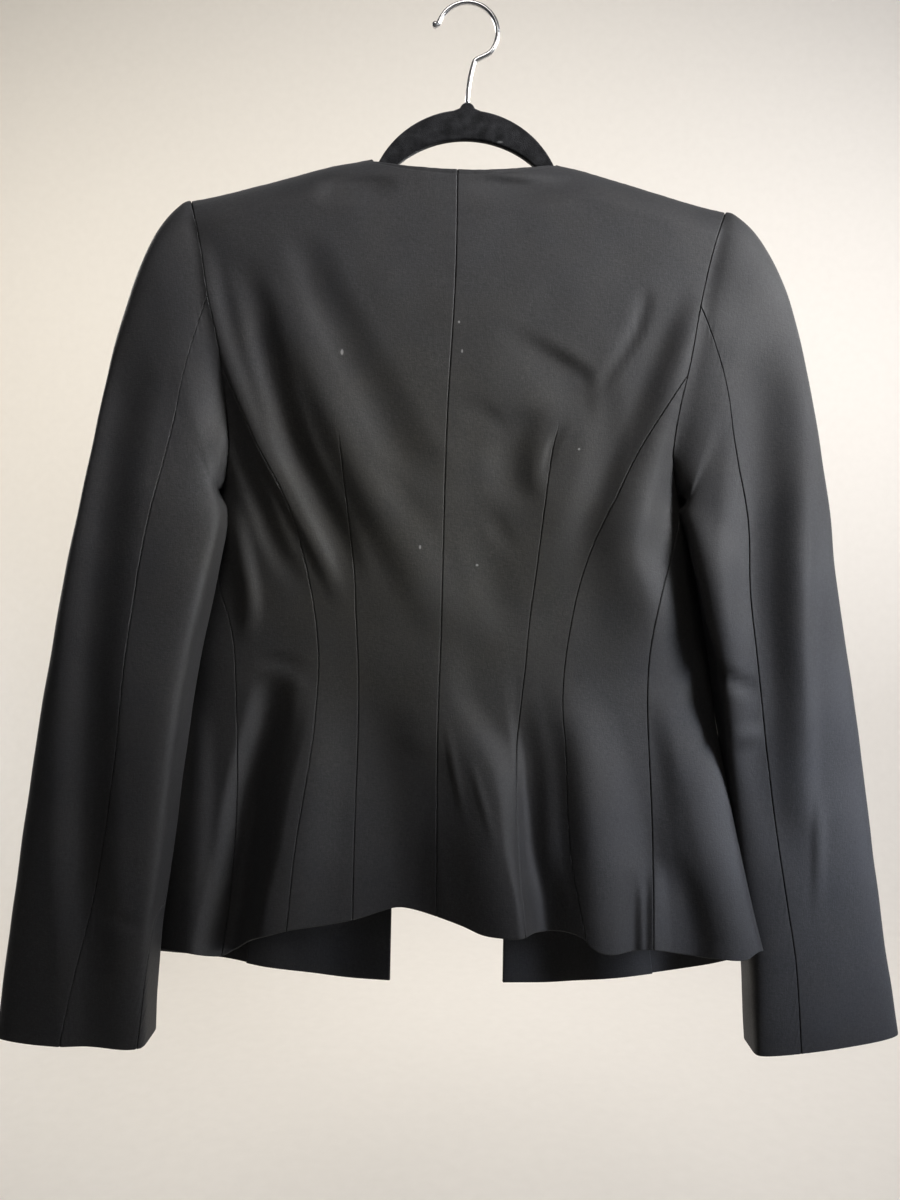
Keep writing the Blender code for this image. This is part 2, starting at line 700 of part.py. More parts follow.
def add_hanger(finish):
    """Arch and arms: an outline with thickness and rounded edges."""
    right = hanger_outline(1)
    left = hanger_outline(-1)[-2:0:-1]
    shape = bmesh.new()
    face = shape.faces.new([shape.verts.new((x, -HANGER_HALF, z)) for x, z in right + left])
    grown = bmesh.ops.extrude_face_region(shape, geom=[face])
    verts = [item for item in grown["geom"] if isinstance(item, bmesh.types.BMVert)]
    bmesh.ops.translate(shape, verts=verts, vec=(0, 2 * HANGER_HALF, 0))
    bmesh.ops.recalc_face_normals(shape, faces=shape.faces)
    mesh = bpy.data.meshes.new("hanger_body")
    shape.to_mesh(mesh)
    shape.free()
    hanger = add_object("hanger_body", mesh, finish)
    bevel = hanger.modifiers.new("rounded edges", "BEVEL")
    bevel.width = HANGER_EDGE
    bevel.segments = 2
    bevel.limit_method = "ANGLE"
    bevel.angle_limit = math.radians(60)
    return hanger


def hook_points():
    """Middle of the wire: from the free end over the top, back to the kink and down the shaft."""
    steps = 5
    points = arc((HOOK_CENTRE_X, WIRE - HOOK_RADIUS), (HOOK_RADIUS, HOOK_RADIUS), *HOOK_SWEEP, 22)
    lower = Place(*points[-1])
    for step in range(1, steps + 1):
        t = step / steps
        points.append((hermite(lower.across, HOOK_KINK.across, -0.010, -0.002, t),
                       hermite(lower.height, HOOK_KINK.height, -0.011, -0.008, t)))
    for step in range(1, steps + 1):
        t = step / steps
        points.append((HOOK_KINK.across * (1 - t) ** 2, mix(HOOK_KINK.height, BOSS_TOP + SEAM_GAP, t)))
    return points


def add_hook(finish):
    """Wire hook with a small ball at its free end."""
    path = [Vector((x, 0, z)) for x, z in hook_points()]
    outward = Vector((-1.0, 0, -0.25)).normalized()
    places = [(path[0] + outward * WIRE * reach, size) for reach, size in BALL_SHAPE]
    places += [(point, 1.0) for point in path]
    curve = bpy.data.curves.new("hanger_hook", "CURVE")
    curve.dimensions = "3D"
    curve.bevel_depth = WIRE
    curve.bevel_resolution = 2
    curve.use_fill_caps = True
    spline = curve.splines.new("POLY")
    spline.points.add(len(places) - 1)
    for point, (place, size) in zip(spline.points, places):
        point.co = (*place, 1.0)
        point.radius = size
    return add_object("hanger_hook", curve, finish)


def main():
    for thing in list(bpy.data.objects):
        bpy.data.objects.remove(thing, do_unlink=True)
    cloth = material("black twill", (0.018, 0.018, 0.020), 0.55)
    flock = material("black flock", (0.012, 0.012, 0.014), 0.95)
    chrome = material("chrome wire", (0.75, 0.75, 0.76), 0.15, 1.0)
    for side, sign, sleeve in SIDES:
        add_body(side, sign, cloth)
        add_sleeve(side, sign, sleeve, cloth)
    add_hanger(flock)
    add_hook(chrome)


main()
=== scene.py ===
"""Visual model of a black collarless blazer with a flared peplum on a slim flocked hanger.

Metres, +Z up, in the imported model's frame. Every piece of cloth is a thin closed shell on the form of its
solid, with its folds, seams and darts worked into the mesh.
"""
import math
from collections import namedtuple

import bmesh
import bpy
import numpy as np
from mathutils import Matrix, Vector


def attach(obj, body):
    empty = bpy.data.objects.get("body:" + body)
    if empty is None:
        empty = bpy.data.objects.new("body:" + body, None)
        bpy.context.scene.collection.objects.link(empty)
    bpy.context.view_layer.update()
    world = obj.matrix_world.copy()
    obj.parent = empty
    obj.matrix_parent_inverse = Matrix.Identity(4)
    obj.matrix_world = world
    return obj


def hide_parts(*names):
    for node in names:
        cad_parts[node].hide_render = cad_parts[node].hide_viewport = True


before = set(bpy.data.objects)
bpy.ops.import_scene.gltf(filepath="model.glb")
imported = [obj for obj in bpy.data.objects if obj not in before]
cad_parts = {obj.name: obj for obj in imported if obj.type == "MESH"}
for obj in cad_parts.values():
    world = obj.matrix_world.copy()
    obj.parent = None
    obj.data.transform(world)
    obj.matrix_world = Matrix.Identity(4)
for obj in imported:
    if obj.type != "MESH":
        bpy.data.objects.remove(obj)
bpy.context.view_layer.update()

# Cloth, seams and edges, with the rate in radians per metre and the start of each ripple beside a seam
CLOTH = 0.0014
SEAM_GAP = 0.0003
SEAM_DEPTH = 0.0010
SEAM_WIDTH = 0.0007
TUCK = 0.003
EDGE_WIDTH = 0.0009
EDGE_ROUND = 0.85
PUCKER_HEIGHT = 0.00006
PUCKER_REACH = 0.007
Ripple = namedtuple("Ripple", "rate start")
PUCKERS = (Ripple(560, 0.0), Ripple(843, 1.3), Ripple(301, 0.4))
DART_DEPTH = 0.0010
DART_WIDTH = 0.0007
DART_FADE = 0.020
NECK_LINE = 0.0034
NECK_LINE_WIDTH = 0.0009
NECK_LINE_DEPTH = 0.00035

# Outline sizes are read in the hanger's plane, from a point this far behind it and this far below the hook
SIGHT_DISTANCE = 0.644
SIGHT_HEIGHT = -0.425
JACKET_X = -0.005

# Neck, shoulder and armhole
NECK_CENTRE = 0.0035
NECK_HALF = 0.0670
NECK_DROP = 0.005
NECK_CORNER = -0.112
NECK_ROUND = 0.0009
SHOULDER_ROUND = 0.019
PRINCESS_TOP = -0.262
PRINCESS_START = 0.0015
UNDERARM_TURN = -0.310
UNDERARM = -0.350
FACING_TOP = -0.152

# Hem as seen, of the back and of the fronts behind it
Place = namedtuple("Place", "across height")
BACK_HEM = (
    Place(-0.240, -0.676), Place(-0.205, -0.679), Place(-0.160, -0.684), Place(-0.148, -0.678),
    Place(-0.138, -0.672), Place(-0.126, -0.669), Place(-0.112, -0.665), Place(-0.065, -0.656),
    Place(-0.038, -0.647), Place(-0.030, -0.646), Place(-0.019, -0.648), Place(-0.003, -0.653),
    Place(0.014, -0.659), Place(0.028, -0.665), Place(0.042, -0.667), Place(0.057, -0.667),
    Place(0.067, -0.662), Place(0.085, -0.661), Place(0.100, -0.666), Place(0.106, -0.672),
    Place(0.113, -0.676), Place(0.123, -0.677), Place(0.136, -0.674), Place(0.151, -0.673),
    Place(0.168, -0.675), Place(0.193, -0.678), Place(0.217, -0.679), Place(0.228, -0.672),
    Place(0.240, -0.672),
)
FRONT_HEM = (
    Place(-0.240, -0.676), Place(-0.205, -0.680), Place(-0.155, -0.684), Place(-0.123, -0.690),
    Place(-0.040, -0.697), Place(0.043, -0.697), Place(0.118, -0.693), Place(0.170, -0.685),
    Place(0.193, -0.681), Place(0.228, -0.672), Place(0.240, -0.672),
)
HEM_START = -0.676

# Sections of the body: half widths as seen, depths at the centre back, at the front and at the side edges,
# and how evenly each half rounds between them (the lower, the squarer)
Section = namedtuple("Section", "height left right back front edge_left edge_right full_back full_front")
SECTIONS = (
    Section(-0.095, 0.218, 0.218, -0.024, 0.020, 0.000, 0.000, 0.50, 0.50),
    Section(-0.150, 0.210, 0.210, -0.029, 0.026, 0.000, 0.000, 0.50, 0.50),
    Section(-0.210, 0.198, 0.198, -0.034, 0.030, 0.002, 0.001, 0.52, 0.55),
    Section(-0.280, 0.181, 0.179, -0.035, 0.032, 0.004, 0.003, 0.58, 0.60),
    Section(-0.350, 0.165, 0.164, -0.033, 0.033, 0.006, 0.005, 0.68, 0.70),
    Section(-0.376, 0.168, 0.173, -0.031, 0.032, 0.007, 0.007, 0.73, 0.75),
    Section(-0.400, 0.173, 0.181, -0.030, 0.031, 0.008, 0.010, 0.78, 0.80),
    Section(-0.430, 0.180, 0.187, -0.029, 0.030, 0.009, 0.009, 0.82, 0.90),
    Section(-0.465, 0.187, 0.187, -0.028, 0.029, 0.009, 0.004, 0.85, 1.00),
    Section(-0.500, 0.189, 0.190, -0.028, 0.029, 0.009, 0.000, 0.85, 1.10),
    Section(-0.535, 0.195, 0.197, -0.030, 0.030, 0.008, -0.004, 0.85, 1.20),
    Section(-0.575, 0.203, 0.206, -0.034, 0.032, 0.007, -0.008, 0.85, 1.30),
    Section(-0.620, 0.212, 0.216, -0.039, 0.034, 0.006, -0.010, 0.85, 1.30),
    Section(-0.700, 0.226, 0.237, -0.045, 0.036, 0.005, -0.011, 0.85, 1.30),
)

# Height of the shoulder line over the width, run on inside the neck
SHOULDER_LINE = (
    Place(0.000, -0.098), Place(0.040, -0.106), Place(0.065, -0.112), Place(0.090, -0.117),
    Place(0.125, -0.127), Place(0.160, -0.137), Place(0.192, -0.1445), Place(0.230, -0.153),
)

# Seam lines as seen from behind
CENTRE_BACK = (
    Place(-0.001, -0.117), Place(-0.001, -0.193), Place(-0.005, -0.303), Place(-0.006, -0.450),
    Place(-0.007, -0.520), Place(-0.005, -0.650),
)
Pair = namedtuple("Pair", "height left right")
ARMHOLE = (
    Pair(-0.144, -0.191, 0.191),
    Pair(-0.176, -0.184, 0.182),
    Pair(-0.211, -0.178, 0.175),
    Pair(-0.250, -0.169, 0.169),
    Pair(-0.283, -0.164, 0.162),
    Pair(-0.318, -0.160, 0.157),
)
PRINCESS = (
    Pair(-0.262, -0.167, 0.166),
    Pair(-0.314, -0.142, 0.134),
    Pair(-0.350, -0.122, 0.117),
    Pair(-0.380, -0.110, 0.103),
    Pair(-0.410, -0.102, 0.093),
    Pair(-0.440, -0.096, 0.087),
    Pair(-0.470, -0.093, 0.083),
    Pair(-0.500, -0.094, 0.082),
    Pair(-0.535, -0.097, 0.085),
    Pair(-0.605, -0.107, 0.090),
    Pair(-0.664, -0.112, 0.102),
)
DART = (
    Pair(-0.300, -0.083, 0.075),
    Pair(-0.317, -0.081, 0.071),
    Pair(-0.360, -0.075, 0.066),
    Pair(-0.406, -0.069, 0.061),
    Pair(-0.440, -0.067, 0.057),
    Pair(-0.470, -0.065, 0.055),
    Pair(-0.501, -0.064, 0.052),
    Pair(-0.533, -0.064, 0.050),
    Pair(-0.601, -0.065, 0.053),
    Pair(-0.666, -0.065, 0.059),
)
DART_TOP = {"left": -0.308, "right": -0.296}
SIDE = (
    Pair(-0.350, -0.165, 0.164),
    Pair(-0.370, -0.166, 0.162),
    Pair(-0.390, -0.167, 0.158),
    Pair(-0.415, -0.166, 0.152),
    Pair(-0.445, -0.157, 0.146),
    Pair(-0.470, -0.153, 0.143),
    Pair(-0.507, -0.151, 0.143),
    Pair(-0.570, -0.149, 0.147),
    Pair(-0.637, -0.152, 0.150),
    Pair(-0.684, -0.158, 0.151),
)
FRONT_EDGE = (
    Pair(-0.112, -0.062, 0.069),
    Pair(-0.200, -0.057, 0.062),
    Pair(-0.330, -0.046, 0.050),
    Pair(-0.480, -0.038, 0.043),
    Pair(-0.700, -0.037, 0.043),
)
FACING_EDGE = (
    Pair(-0.112, -0.105, 0.107),
    Pair(-0.200, -0.112, 0.114),
    Pair(-0.330, -0.112, 0.116),
    Pair(-0.480, -0.118, 0.124),
    Pair(-0.700, -0.140, 0.150),
)

# Folds in millimetres as seen: a smooth line through x and z, its rise along the line, and the half widths
# on its low side (left, or below a level line) and on its high side, at both ends.
# A ridge has a rise over zero and a trough one under zero. All fade at the side edges of body and sleeves.
EDGE_FADE = 0.14
Fold = namedtuple("Fold", "x z rise low high")
BACK_FOLDS = (
    # Neck
    Fold((-105, -88, -62, -41), (-133, -131, -129, -127), (0, -3.4, -3.4, 0), (16, 16), (9, 9)),
    Fold((-5, 40, 70, 101), (-128, -129, -128, -125), (0, -3.2, -2.8, 0), (16, 16), (10, 10)),
    # Upper left back
    Fold((-190, -184, -178, -170, -153, -137, -117, -97, -75),
         (-169, -186, -215, -243, -286, -321, -357, -392, -438),
         (0, 2, 4, 4, 3.5, 3, 2.5, 2.5, 0), (10, 8), (16, 12)),
    Fold((-153, -143, -137, -125, -112, -94, -77, -69), (-178, -214, -243, -285, -321, -356, -391, -423),
         (0, -2.5, -4, -5, -5.5, -4.5, -3, 0), (16, 16), (16, 16)),
    Fold((-139, -123, -111, -92, -75, -57, -35, -17, -2),
         (-192, -214, -242, -284, -320, -355, -391, -426, -461),
         (0, 1, 2, 3.5, 4, 4.4, 3.4, 1.6, 0), (16, 24), (18, 34)),
    Fold((-113, -107, -96, -80, -56, -37, -12), (-160, -185, -213, -241, -284, -319, -354),
         (0, -2, -2.5, -2.5, -2.5, -2.5, 0), (18, 18), (24, 30)),
    Fold((-166, -152, -139, -125, -104), (-279, -322, -357, -392, -426),
         (0, -2.5, -3, -2.5, 0), (8, 12), (9, 13)),
    # Upper right back
    Fold((22, 48, 66, 80, 92, 104), (-230, -243, -252, -259, -265, -270),
         (0, -1.2, -2.7, -3.4, -2.7, 0), (46, 38), (16, 12)),
    Fold((137, 135, 130, 116, 97), (-196, -212, -230, -254, -283),
         (0, -1.7, -2.3, -2, 0), (9, 8), (5, 6)),
    Fold((180, 169, 157, 148, 138, 129, 139, 141, 137),
         (-189, -233, -279, -315, -351, -387, -423, -458, -487),
         (0, 6, 9, 9, 8.5, 7.5, 5.5, 3, 0), (16, 58), (14, 30)),
    Fold((97, 104, 109, 99, 82), (-223, -266, -316, -359, -395),
         (0, -0.8, -1.4, -1.2, 0), (20, 20), (18, 18)),
    Fold((58, 50, 44, 42, 44, 52), (-284, -297, -314, -332, -346, -360),
         (0, -1.7, -2.3, -2.3, -1.6, 0), (24, 24), (15, 17)),
    Fold((71, 63, 61, 64), (-295, -317, -335, -354), (0, 0.8, 0.8, 0), (10, 10), (8, 8)),
    Fold((83, 71, 66), (-291, -313, -335), (0, -0.9, 0), (5, 5), (7, 7)),
    Fold((10, 26, 39), (-276, -293, -308), (0, -0.8, 0), (22, 22), (8, 8)),
    Fold((26, 35, 47), (-357, -375, -397), (0, -0.9, 0), (12, 12), (10, 10)),
    # Waist
    Fold((-160, -151, -144, -147), (-350, -393, -429, -464), (0, 4, 4, 0), (10, 10), (12, 12)),
    Fold((14, 24, 36, 45), (-357, -393, -428, -460), (0, -1, -1, 0), (22, 20), (22, 20)),
    Fold((32, 32, 32, 36, 42), (-260, -318, -375, -425, -464), (0, -3, -4, -3, 0), (60, 60), (64, 64)),
    Fold((151, 156, 162, 167), (-319, -372, -422, -479), (0, 5, 6, 0), (66, 66), (14, 14)),
    Fold((-141, -121, -98), (-474, -473, -476), (0, -2, 0), (5, 4), (8, 6)),
    Fold((-123, -110, -95), (-485, -487, -489), (0, 1.5, 0), (4, 4), (4, 4)),
    # Left peplum
    Fold((-180, -178, -179, -182), (-494, -544, -608, -673), (0, 3, 4, 4), (20, 22), (14, 16)),
    Fold((-125, -127, -130, -135, -139, -142, -146, -151), (-477, -500, -521, -543, -572, -607, -643, -676),
         (0, -7, -10, -13, -15, -16, -16, -16), (16, 30), (22, 18)),
    Fold((-95, -100, -105, -111, -116, -124, -128), (-488, -521, -542, -571, -607, -643, -672),
         (0, 2.5, 4, 5, 6, 7, 7), (12, 17), (32, 50)),
    Fold((-70, -63, -55, -49, -43, -40, -35), (-449, -498, -520, -541, -570, -605, -645),
         (0, -2.5, -4, -5, -6, -6.5, -6.5), (44, 68), (34, 40)),
    # Right peplum
    Fold((-8, 0, 12, 28, 37, 42, 50, 54), (-444, -497, -518, -540, -568, -604, -639, -668),
         (0, 3.2, 5, 8, 12.5, 17, 20, 21), (30, 76), (23, 23)),
    Fold((-3, 6, 16), (-506, -549, -593), (0, 1, 0), (4, 4), (5, 5)),
    Fold((14, 25, 37), (-530, -567, -608), (0, 1, 0), (4, 4), (5, 5)),
    Fold((45, 50, 53, 57, 58, 59, 65, 69), (-457, -496, -518, -539, -567, -603, -639, -664),
         (0, -1, -3, -4.5, -6, -7, -7, -7), (10, 11), (14, 26)),
    Fold((84, 87, 93, 98, 103, 107, 110, 114), (-463, -495, -517, -538, -567, -602, -638, -670),
         (0, 2, 5, 7.5, 9, 10, 10.5, 10.5), (22, 34), (28, 46)),
    Fold((141, 145, 146, 148, 165, 172), (-487, -537, -566, -601, -637, -665),
         (0, -2.5, -3.5, -4, -4, -4), (28, 34), (18, 26)),
    Fold((134, 135, 136), (-612, -637, -673), (0, -3, -4), (12, 14), (7, 8)),
    Fold((150, 151, 152), (-605, -637, -673), (0, 3, 4), (7, 8), (10, 12)),
    Fold((151, 161, 168, 176, 185, 198, 207), (-483, -515, -537, -565, -601, -636, -665),
         (0, 1.5, 2.5, 3.5, 4.5, 5, 5), (14, 28), (26, 40)),
    Fold((200, 211, 223, 232), (-486, -536, -600, -664), (0, 5, 8, 8), (50, 58), (14, 14)),
)
FRONT_FOLDS = (
    Fold((-150, -165, -178), (-470, -600, -720), (0, 5, 10), (30, 42), (30, 42)),
    Fold((-105, -113, -122), (-470, -600, -720), (0, -6, -12), (30, 42), (30, 42)),
    Fold((-60, -66, -70), (-480, -600, -720), (0, 5, 9), (28, 38), (28, 38)),
    Fold((65, 69, 72), (-480, -600, -720), (0, 5, 9), (28, 38), (28, 38)),
    Fold((108, 116, 122), (-470, -600, -720), (0, -7, -13), (30, 42), (30, 42)),
    Fold((150, 164, 176), (-470, -600, -720), (0, 6, 11), (30, 42), (30, 42)),
    Fold((-150, -128, -96), (-230, -300, -380), (0, -2.5, 0), (14, 16), (12, 14)),
    Fold((146, 122, 92), (-240, -310, -390), (0, -2.5, 0), (12, 14), (14, 16)),
)
SLEEVE_FOLDS = {
    "left": (
        Fold((-229, -241, -250, -254, -257, -259, -260, -261, -261, -257, -254),
             (-223, -295, -359, -395, -431, -467, -503, -546, -610, -667, -717),
             (0, -4, -5, -5, -5, -5, -5.5, -5.5, -6, -5, -3), (20, 22), (30, 32)),
        Fold((-250, -228, -207), (-659, -661, -663), (0, -1.2, 0), (8, 8), (8, 8)),
    ),
    "right": (
        Fold((166, 174, 181, 188, 194), (-351, -383, -411, -443, -472), (0, 5, 6, 4, 0), (7, 7), (34, 34)),
        Fold((212, 222, 220, 219, 222, 224, 227, 225, 229, 237, 243),
             (-235, -285, -350, -385, -421, -457, -492, -535, -564, -600, -635),
             (0, -4.5, -6, -7, -7.5, -6.5, -5, -4, -3, -1.5, 0), (30, 30), (30, 30)),
        Fold((252, 251, 252, 252, 254, 256, 254), (-299, -349, -420, -456, -492, -563, -599),
             (0, 3, 3.5, 3.5, 3, 2, 0), (22, 20), (14, 14)),
        Fold((180, 196, 210, 229), (-471, -476, -481, -485), (0, -3.6, -3.2, 0), (12, 10), (9, 8)),
        Fold((189, 205, 218, 232), (-523, -520, -518, -515), (0, 2.6, 2.4, 0), (10, 10), (8, 8)),
        Fold((266, 266, 267), (-545, -595, -656), (0, 1.5, 0), (5, 5), (9, 9)),
    ),
}

# Gentle waves of the cloth: turns of each wave per metre over x and z, its start and its height
Wave = namedtuple("Wave", "over_x over_z start height")
WAVES = (
    Wave(14.0, 5.0, 0.3, 0.00010),
    Wave(-9.0, 13.0, 1.9, 0.00012),
    Wave(22.0, -8.0, 4.1, 0.00007),
    Wave(6.0, 19.0, 2.7, 0.00009),
    Wave(31.0, 17.0, 0.9, 0.00003),
    Wave(-27.0, 24.0, 3.3, 0.00003),
)

# Rings of the sleeves, from the armhole to the cuff: outer and inner edge as seen and their depths,
# half the sleeve's thickness, and the angles of its back and inner seams in degrees from the outer edge
Ring = namedtuple("Ring", "outer_x outer_z outer_y inner_x inner_z inner_y half back_seam inner_seam")
LEFT_SLEEVE = (
    Ring(-0.196, -0.142, 0.000, -0.170, -0.351, -0.010, 0.016, 70, 243),
    Ring(-0.203, -0.152, -0.004, -0.167, -0.354, -0.010, 0.018, 81, 240),
    Ring(-0.217, -0.175, -0.005, -0.165, -0.357, -0.011, 0.019, 92, 237),
    Ring(-0.231, -0.216, -0.006, -0.163, -0.360, -0.013, 0.018, 97, 234),
    Ring(-0.247, -0.278, -0.006, -0.162, -0.366, -0.017, 0.018, 97, 230),
    Ring(-0.260, -0.350, -0.010, -0.163, -0.380, -0.021, 0.020, 94, 225),
    Ring(-0.269, -0.405, -0.013, -0.169, -0.411, -0.024, 0.023, 95, 220),
    Ring(-0.279, -0.475, -0.014, -0.182, -0.478, -0.029, 0.026, 100, 212),
    Ring(-0.288, -0.540, -0.013, -0.190, -0.540, -0.034, 0.026, 104, 202),
    Ring(-0.297, -0.610, -0.014, -0.198, -0.612, -0.038, 0.025, 102, 190),
    Ring(-0.304, -0.672, -0.011, -0.205, -0.676, -0.038, 0.024, 95, 174),
    Ring(-0.312, -0.737, -0.012, -0.2075, -0.743, -0.035, 0.022, 87, 158),
)
RIGHT_SLEEVE = (
    Ring(0.196, -0.142, 0.000, 0.170, -0.351, -0.009, 0.016, 70, 243),
    Ring(0.203, -0.150, -0.004, 0.167, -0.354, -0.009, 0.018, 82, 240),
    Ring(0.218, -0.170, 0.000, 0.165, -0.356, -0.009, 0.019, 93, 237),
    Ring(0.236, -0.211, 0.004, 0.163, -0.358, -0.009, 0.018, 100, 234),
    Ring(0.251, -0.272, 0.004, 0.163, -0.363, -0.010, 0.018, 101, 231),
    Ring(0.265, -0.352, 0.001, 0.169, -0.377, -0.012, 0.019, 101, 228),
    Ring(0.272, -0.412, 0.001, 0.179, -0.416, -0.014, 0.021, 109, 225),
    Ring(0.282, -0.475, 0.006, 0.190, -0.480, -0.010, 0.024, 115, 222),
    Ring(0.291, -0.535, 0.014, 0.197, -0.540, -0.004, 0.025, 117, 220),
    Ring(0.301, -0.605, 0.018, 0.206, -0.612, 0.003, 0.025, 116, 216),
    Ring(0.311, -0.668, 0.023, 0.216, -0.676, 0.006, 0.024, 115, 212),
    Ring(0.3215, -0.723, 0.024, 0.220, -0.740, 0.003, 0.021, 115, 208),
)
# Rings over which a sleeve leaves the armhole's form and its section flattens, and the two section forms
SLEEVE_HEAD_RINGS = 3
SLEEVE_FLAT_RINGS = 5
ARMHOLE_FULLNESS = 0.5
SLEEVE_FULLNESS = 0.28
# Cosines of the turn over which a sleeve's back comes to stand out at the underarm, and how soon it does
UNDERARM_FROM = -0.5
UNDERARM_TO = -0.75
UNDERARM_STEP = 20
SLEEVES = {"left": LEFT_SLEEVE, "right": RIGHT_SLEEVE}
SIGN = {"left": -1, "right": 1}

# Hanger, with arcs given by the top and the radius of their circle and by their two angles in degrees
Bow = namedtuple("Bow", "top radius start end steps")
HANGER_HALF = 0.0026
HANGER_EDGE = 0.0018
BOSS = Bow(-0.0705, 0.0055, 90, 15, 8)
ARCH = Bow(-0.0757, 0.0700, 82, 25, 32)
ARCH_INSIDE = Bow(-0.0972, 0.0740, 48, 90, 28)
ARM_START = 0.078
ARM_END = 0.176
ARM_STEPS = 8
ARM_DEPTH = 0.020
ARM_END_DEPTH = 0.011
ARM_CLEARANCE = 0.0015

# Hook: the slopes at both ends of its bend down to the kink, and the ball at its free end, whose distances
# from that end and radii are in wire radii
WIRE = 0.0017
HOOK = Bow(WIRE, 0.0216, 165, -38, 60)
HOOK_CENTRE_X = -0.001
HOOK_KINK = Place(0.0042, -0.041)
HOOK_BEND = (Place(-0.010, -0.011), Place(-0.002, -0.008))
HOOK_STEPS = 16
HOOK_TIP = (-1.0, 0.0, -0.25)
BALL_SHAPE = ((2.6, 0.5), (2.2, 1.2), (1.4, 1.55), (0.6, 1.2))

# Mesh columns and rows of each kind of piece, and the size and area it was cut to
Cut = namedtuple("Cut", "columns rows width length area")
CUTS = {
    "back": Cut(96, 230, 0.205, 0.550, 0.067),
    "side_back": Cut(52, 170, 0.085, 0.420, 0.023),
    "front": Cut(96, 230, 0.250, 0.620, 0.103),
    "facing": Cut(36, 200, 0.115, 0.580, 0.046),
    "top_sleeve": Cut(104, 250, 0.205, 0.620, 0.097),
    "under_sleeve": Cut(54, 250, 0.085, 0.550, 0.031),
}
# How far rows and columns crowd towards the edges, and the rounds in which a line's ends are found
CROWD = 0.85
SETTLE_ROUNDS = 12

# Lint, a rub on the hanger's arch and a painted highlight at the waist as seen: place, half width and half
# height
Speck = namedtuple("Speck", "x z wide high")
LINT = (
    Speck(-0.0809, -0.2499, 0.0013, 0.0027),
    Speck(0.0023, -0.2267, 0.0010, 0.0012),
    Speck(0.0049, -0.2474, 0.0009, 0.0016),
    Speck(0.0188, -0.4002, 0.0013, 0.0011),
    Speck(0.0900, -0.3158, 0.0011, 0.0011),
    Speck(-0.0222, -0.3882, 0.0010, 0.0018),
)
ARCH_RUB = Speck(0.0289, -0.0975, 0.0030, 0.0012)
# Painted highlight: the spot where the cloth's colour is painted lighter and warmer at the waist
WAIST_HIGHLIGHT = Speck(-0.0100, -0.3900, 0.12, 0.12)

# Pairs of shades, with painted light as the tints, slightly cool away from the waist and a warm painted
# highlight at it, and the span of a noise they cover
TWILL_SHADES = ((0.0155, 0.0153, 0.0155), (0.0195, 0.0192, 0.0192))
TWILL_HIGHLIGHT_TINTS = ((0.98, 0.965, 1.01), (1.28, 1.22, 1.01))
TWILL_MOTTLE = ((0.93, 0.94, 0.97), (1.08, 1.06, 1.02))
FLOCK_SHADES = ((0.0045, 0.0045, 0.0050), (0.019, 0.019, 0.0205))
FLOCK_SPECKLE = ((0.6, 0.6, 0.6), (1.45, 1.45, 1.45))
WIRE_SHADES = ((0.62, 0.62, 0.63), (0.74, 0.74, 0.75))
STUDIO_SHADES = ((0.78, 0.765, 0.745), (0.80, 0.785, 0.765))
NOISE_SPAN = (0.3, 0.7)

# Floor, camera and light
STAGE_HALF = 4.0
STAGE_BEND = 0.6
STAGE_STEPS = 24
FLOOR_HEIGHT = -1.35
BACKDROP_DISTANCE = 2.3
BACKDROP_TOP = 3.0
CAMERA_HEIGHT = -0.4255
CAMERA_SENSOR = 36.0
CAMERA_LENS = 27.03
CAMERA_NEAR = 0.01
CAMERA_ROLL = 1.2
SURROUND = (0.82, 0.89, 1.0)
SURROUND_STRENGTH = 0.04
Lamp = namedtuple("Lamp", "name place aim size watts colour spread")
LAMPS = (
    Lamp("window", (1.79, -0.87, 0.51), (0.19, 0.0, 0.0), 0.9, 6.9, (0.965, 0.975, 1.0), 32),
    Lamp("rim", (1.05, -0.42, -0.45), (0.50, 0.0, -0.54), 0.4, 1.05, (0.76, 0.83, 1.0), 30),
    Lamp("top", (-0.15, -1.2, 1.1), (-0.08, 0.0, -0.12), 0.8, 0.46, (1.0, 0.95, 0.90), 30),
    Lamp("front left", (-1.9, 1.5, 0.6), (0.0, 0.1, -0.4), 1.4, 6, (1.0, 0.98, 0.95), 50),
    Lamp("front right", (1.9, 1.5, 0.6), (0.0, 0.1, -0.4), 1.4, 3.5, (1.0, 0.98, 0.95), 50),
    Lamp("backdrop right", (1.6, 0.5, 0.45), (1.2, 2.3, 0.0), 1.6, 34, (1.0, 0.965, 0.94), 175),
    Lamp("backdrop left", (-1.6, 0.5, 0.45), (-1.2, 2.3, 0.0), 1.6, 25, (1.0, 0.915, 0.78), 175),
    Lamp("backdrop top", (0.0, 0.4, 1.1), (0.0, 2.3, 1.1), 1.0, 16, (1.0, 0.94, 0.85), 175),
    Lamp("floor", (0.1, 1.3, 1.3), (0.1, 1.4, -1.35), 0.6, 1.8, (1.0, 0.94, 0.86), 60),
)


def hermite(start, end, start_slope, end_slope, t):
    """Cubic between two values with the given slopes, each over the whole step."""
    return ((2 * t ** 3 - 3 * t ** 2 + 1) * start + (t ** 3 - 2 * t ** 2 + t) * start_slope
            + (3 * t ** 2 - 2 * t ** 3) * end + (t ** 3 - t ** 2) * end_slope)


def smooth_read(keys, values, at, level_ends=False):
    """Values at the given places on a smooth curve through a table's column, level past its ends."""
    keys = np.asarray(keys, float)
    values = np.asarray(values, float)
    if keys[0] > keys[-1]:
        keys = keys[::-1]
        values = values[::-1]
    rows = np.arange(len(keys))
    before = np.maximum(rows - 1, 0)
    after = np.minimum(rows + 1, rows[-1])
    slopes = (values[after] - values[before]) / (keys[after] - keys[before])
    if level_ends:
        slopes[[0, -1]] = 0
    at = np.clip(at, keys[0], keys[-1])
    step = np.clip(np.searchsorted(keys, at, side="right") - 1, 0, len(keys) - 2)
    span = keys[step + 1] - keys[step]
    t = (at - keys[step]) / span
    return hermite(values[step], values[step + 1], slopes[step] * span, slopes[step + 1] * span, t)


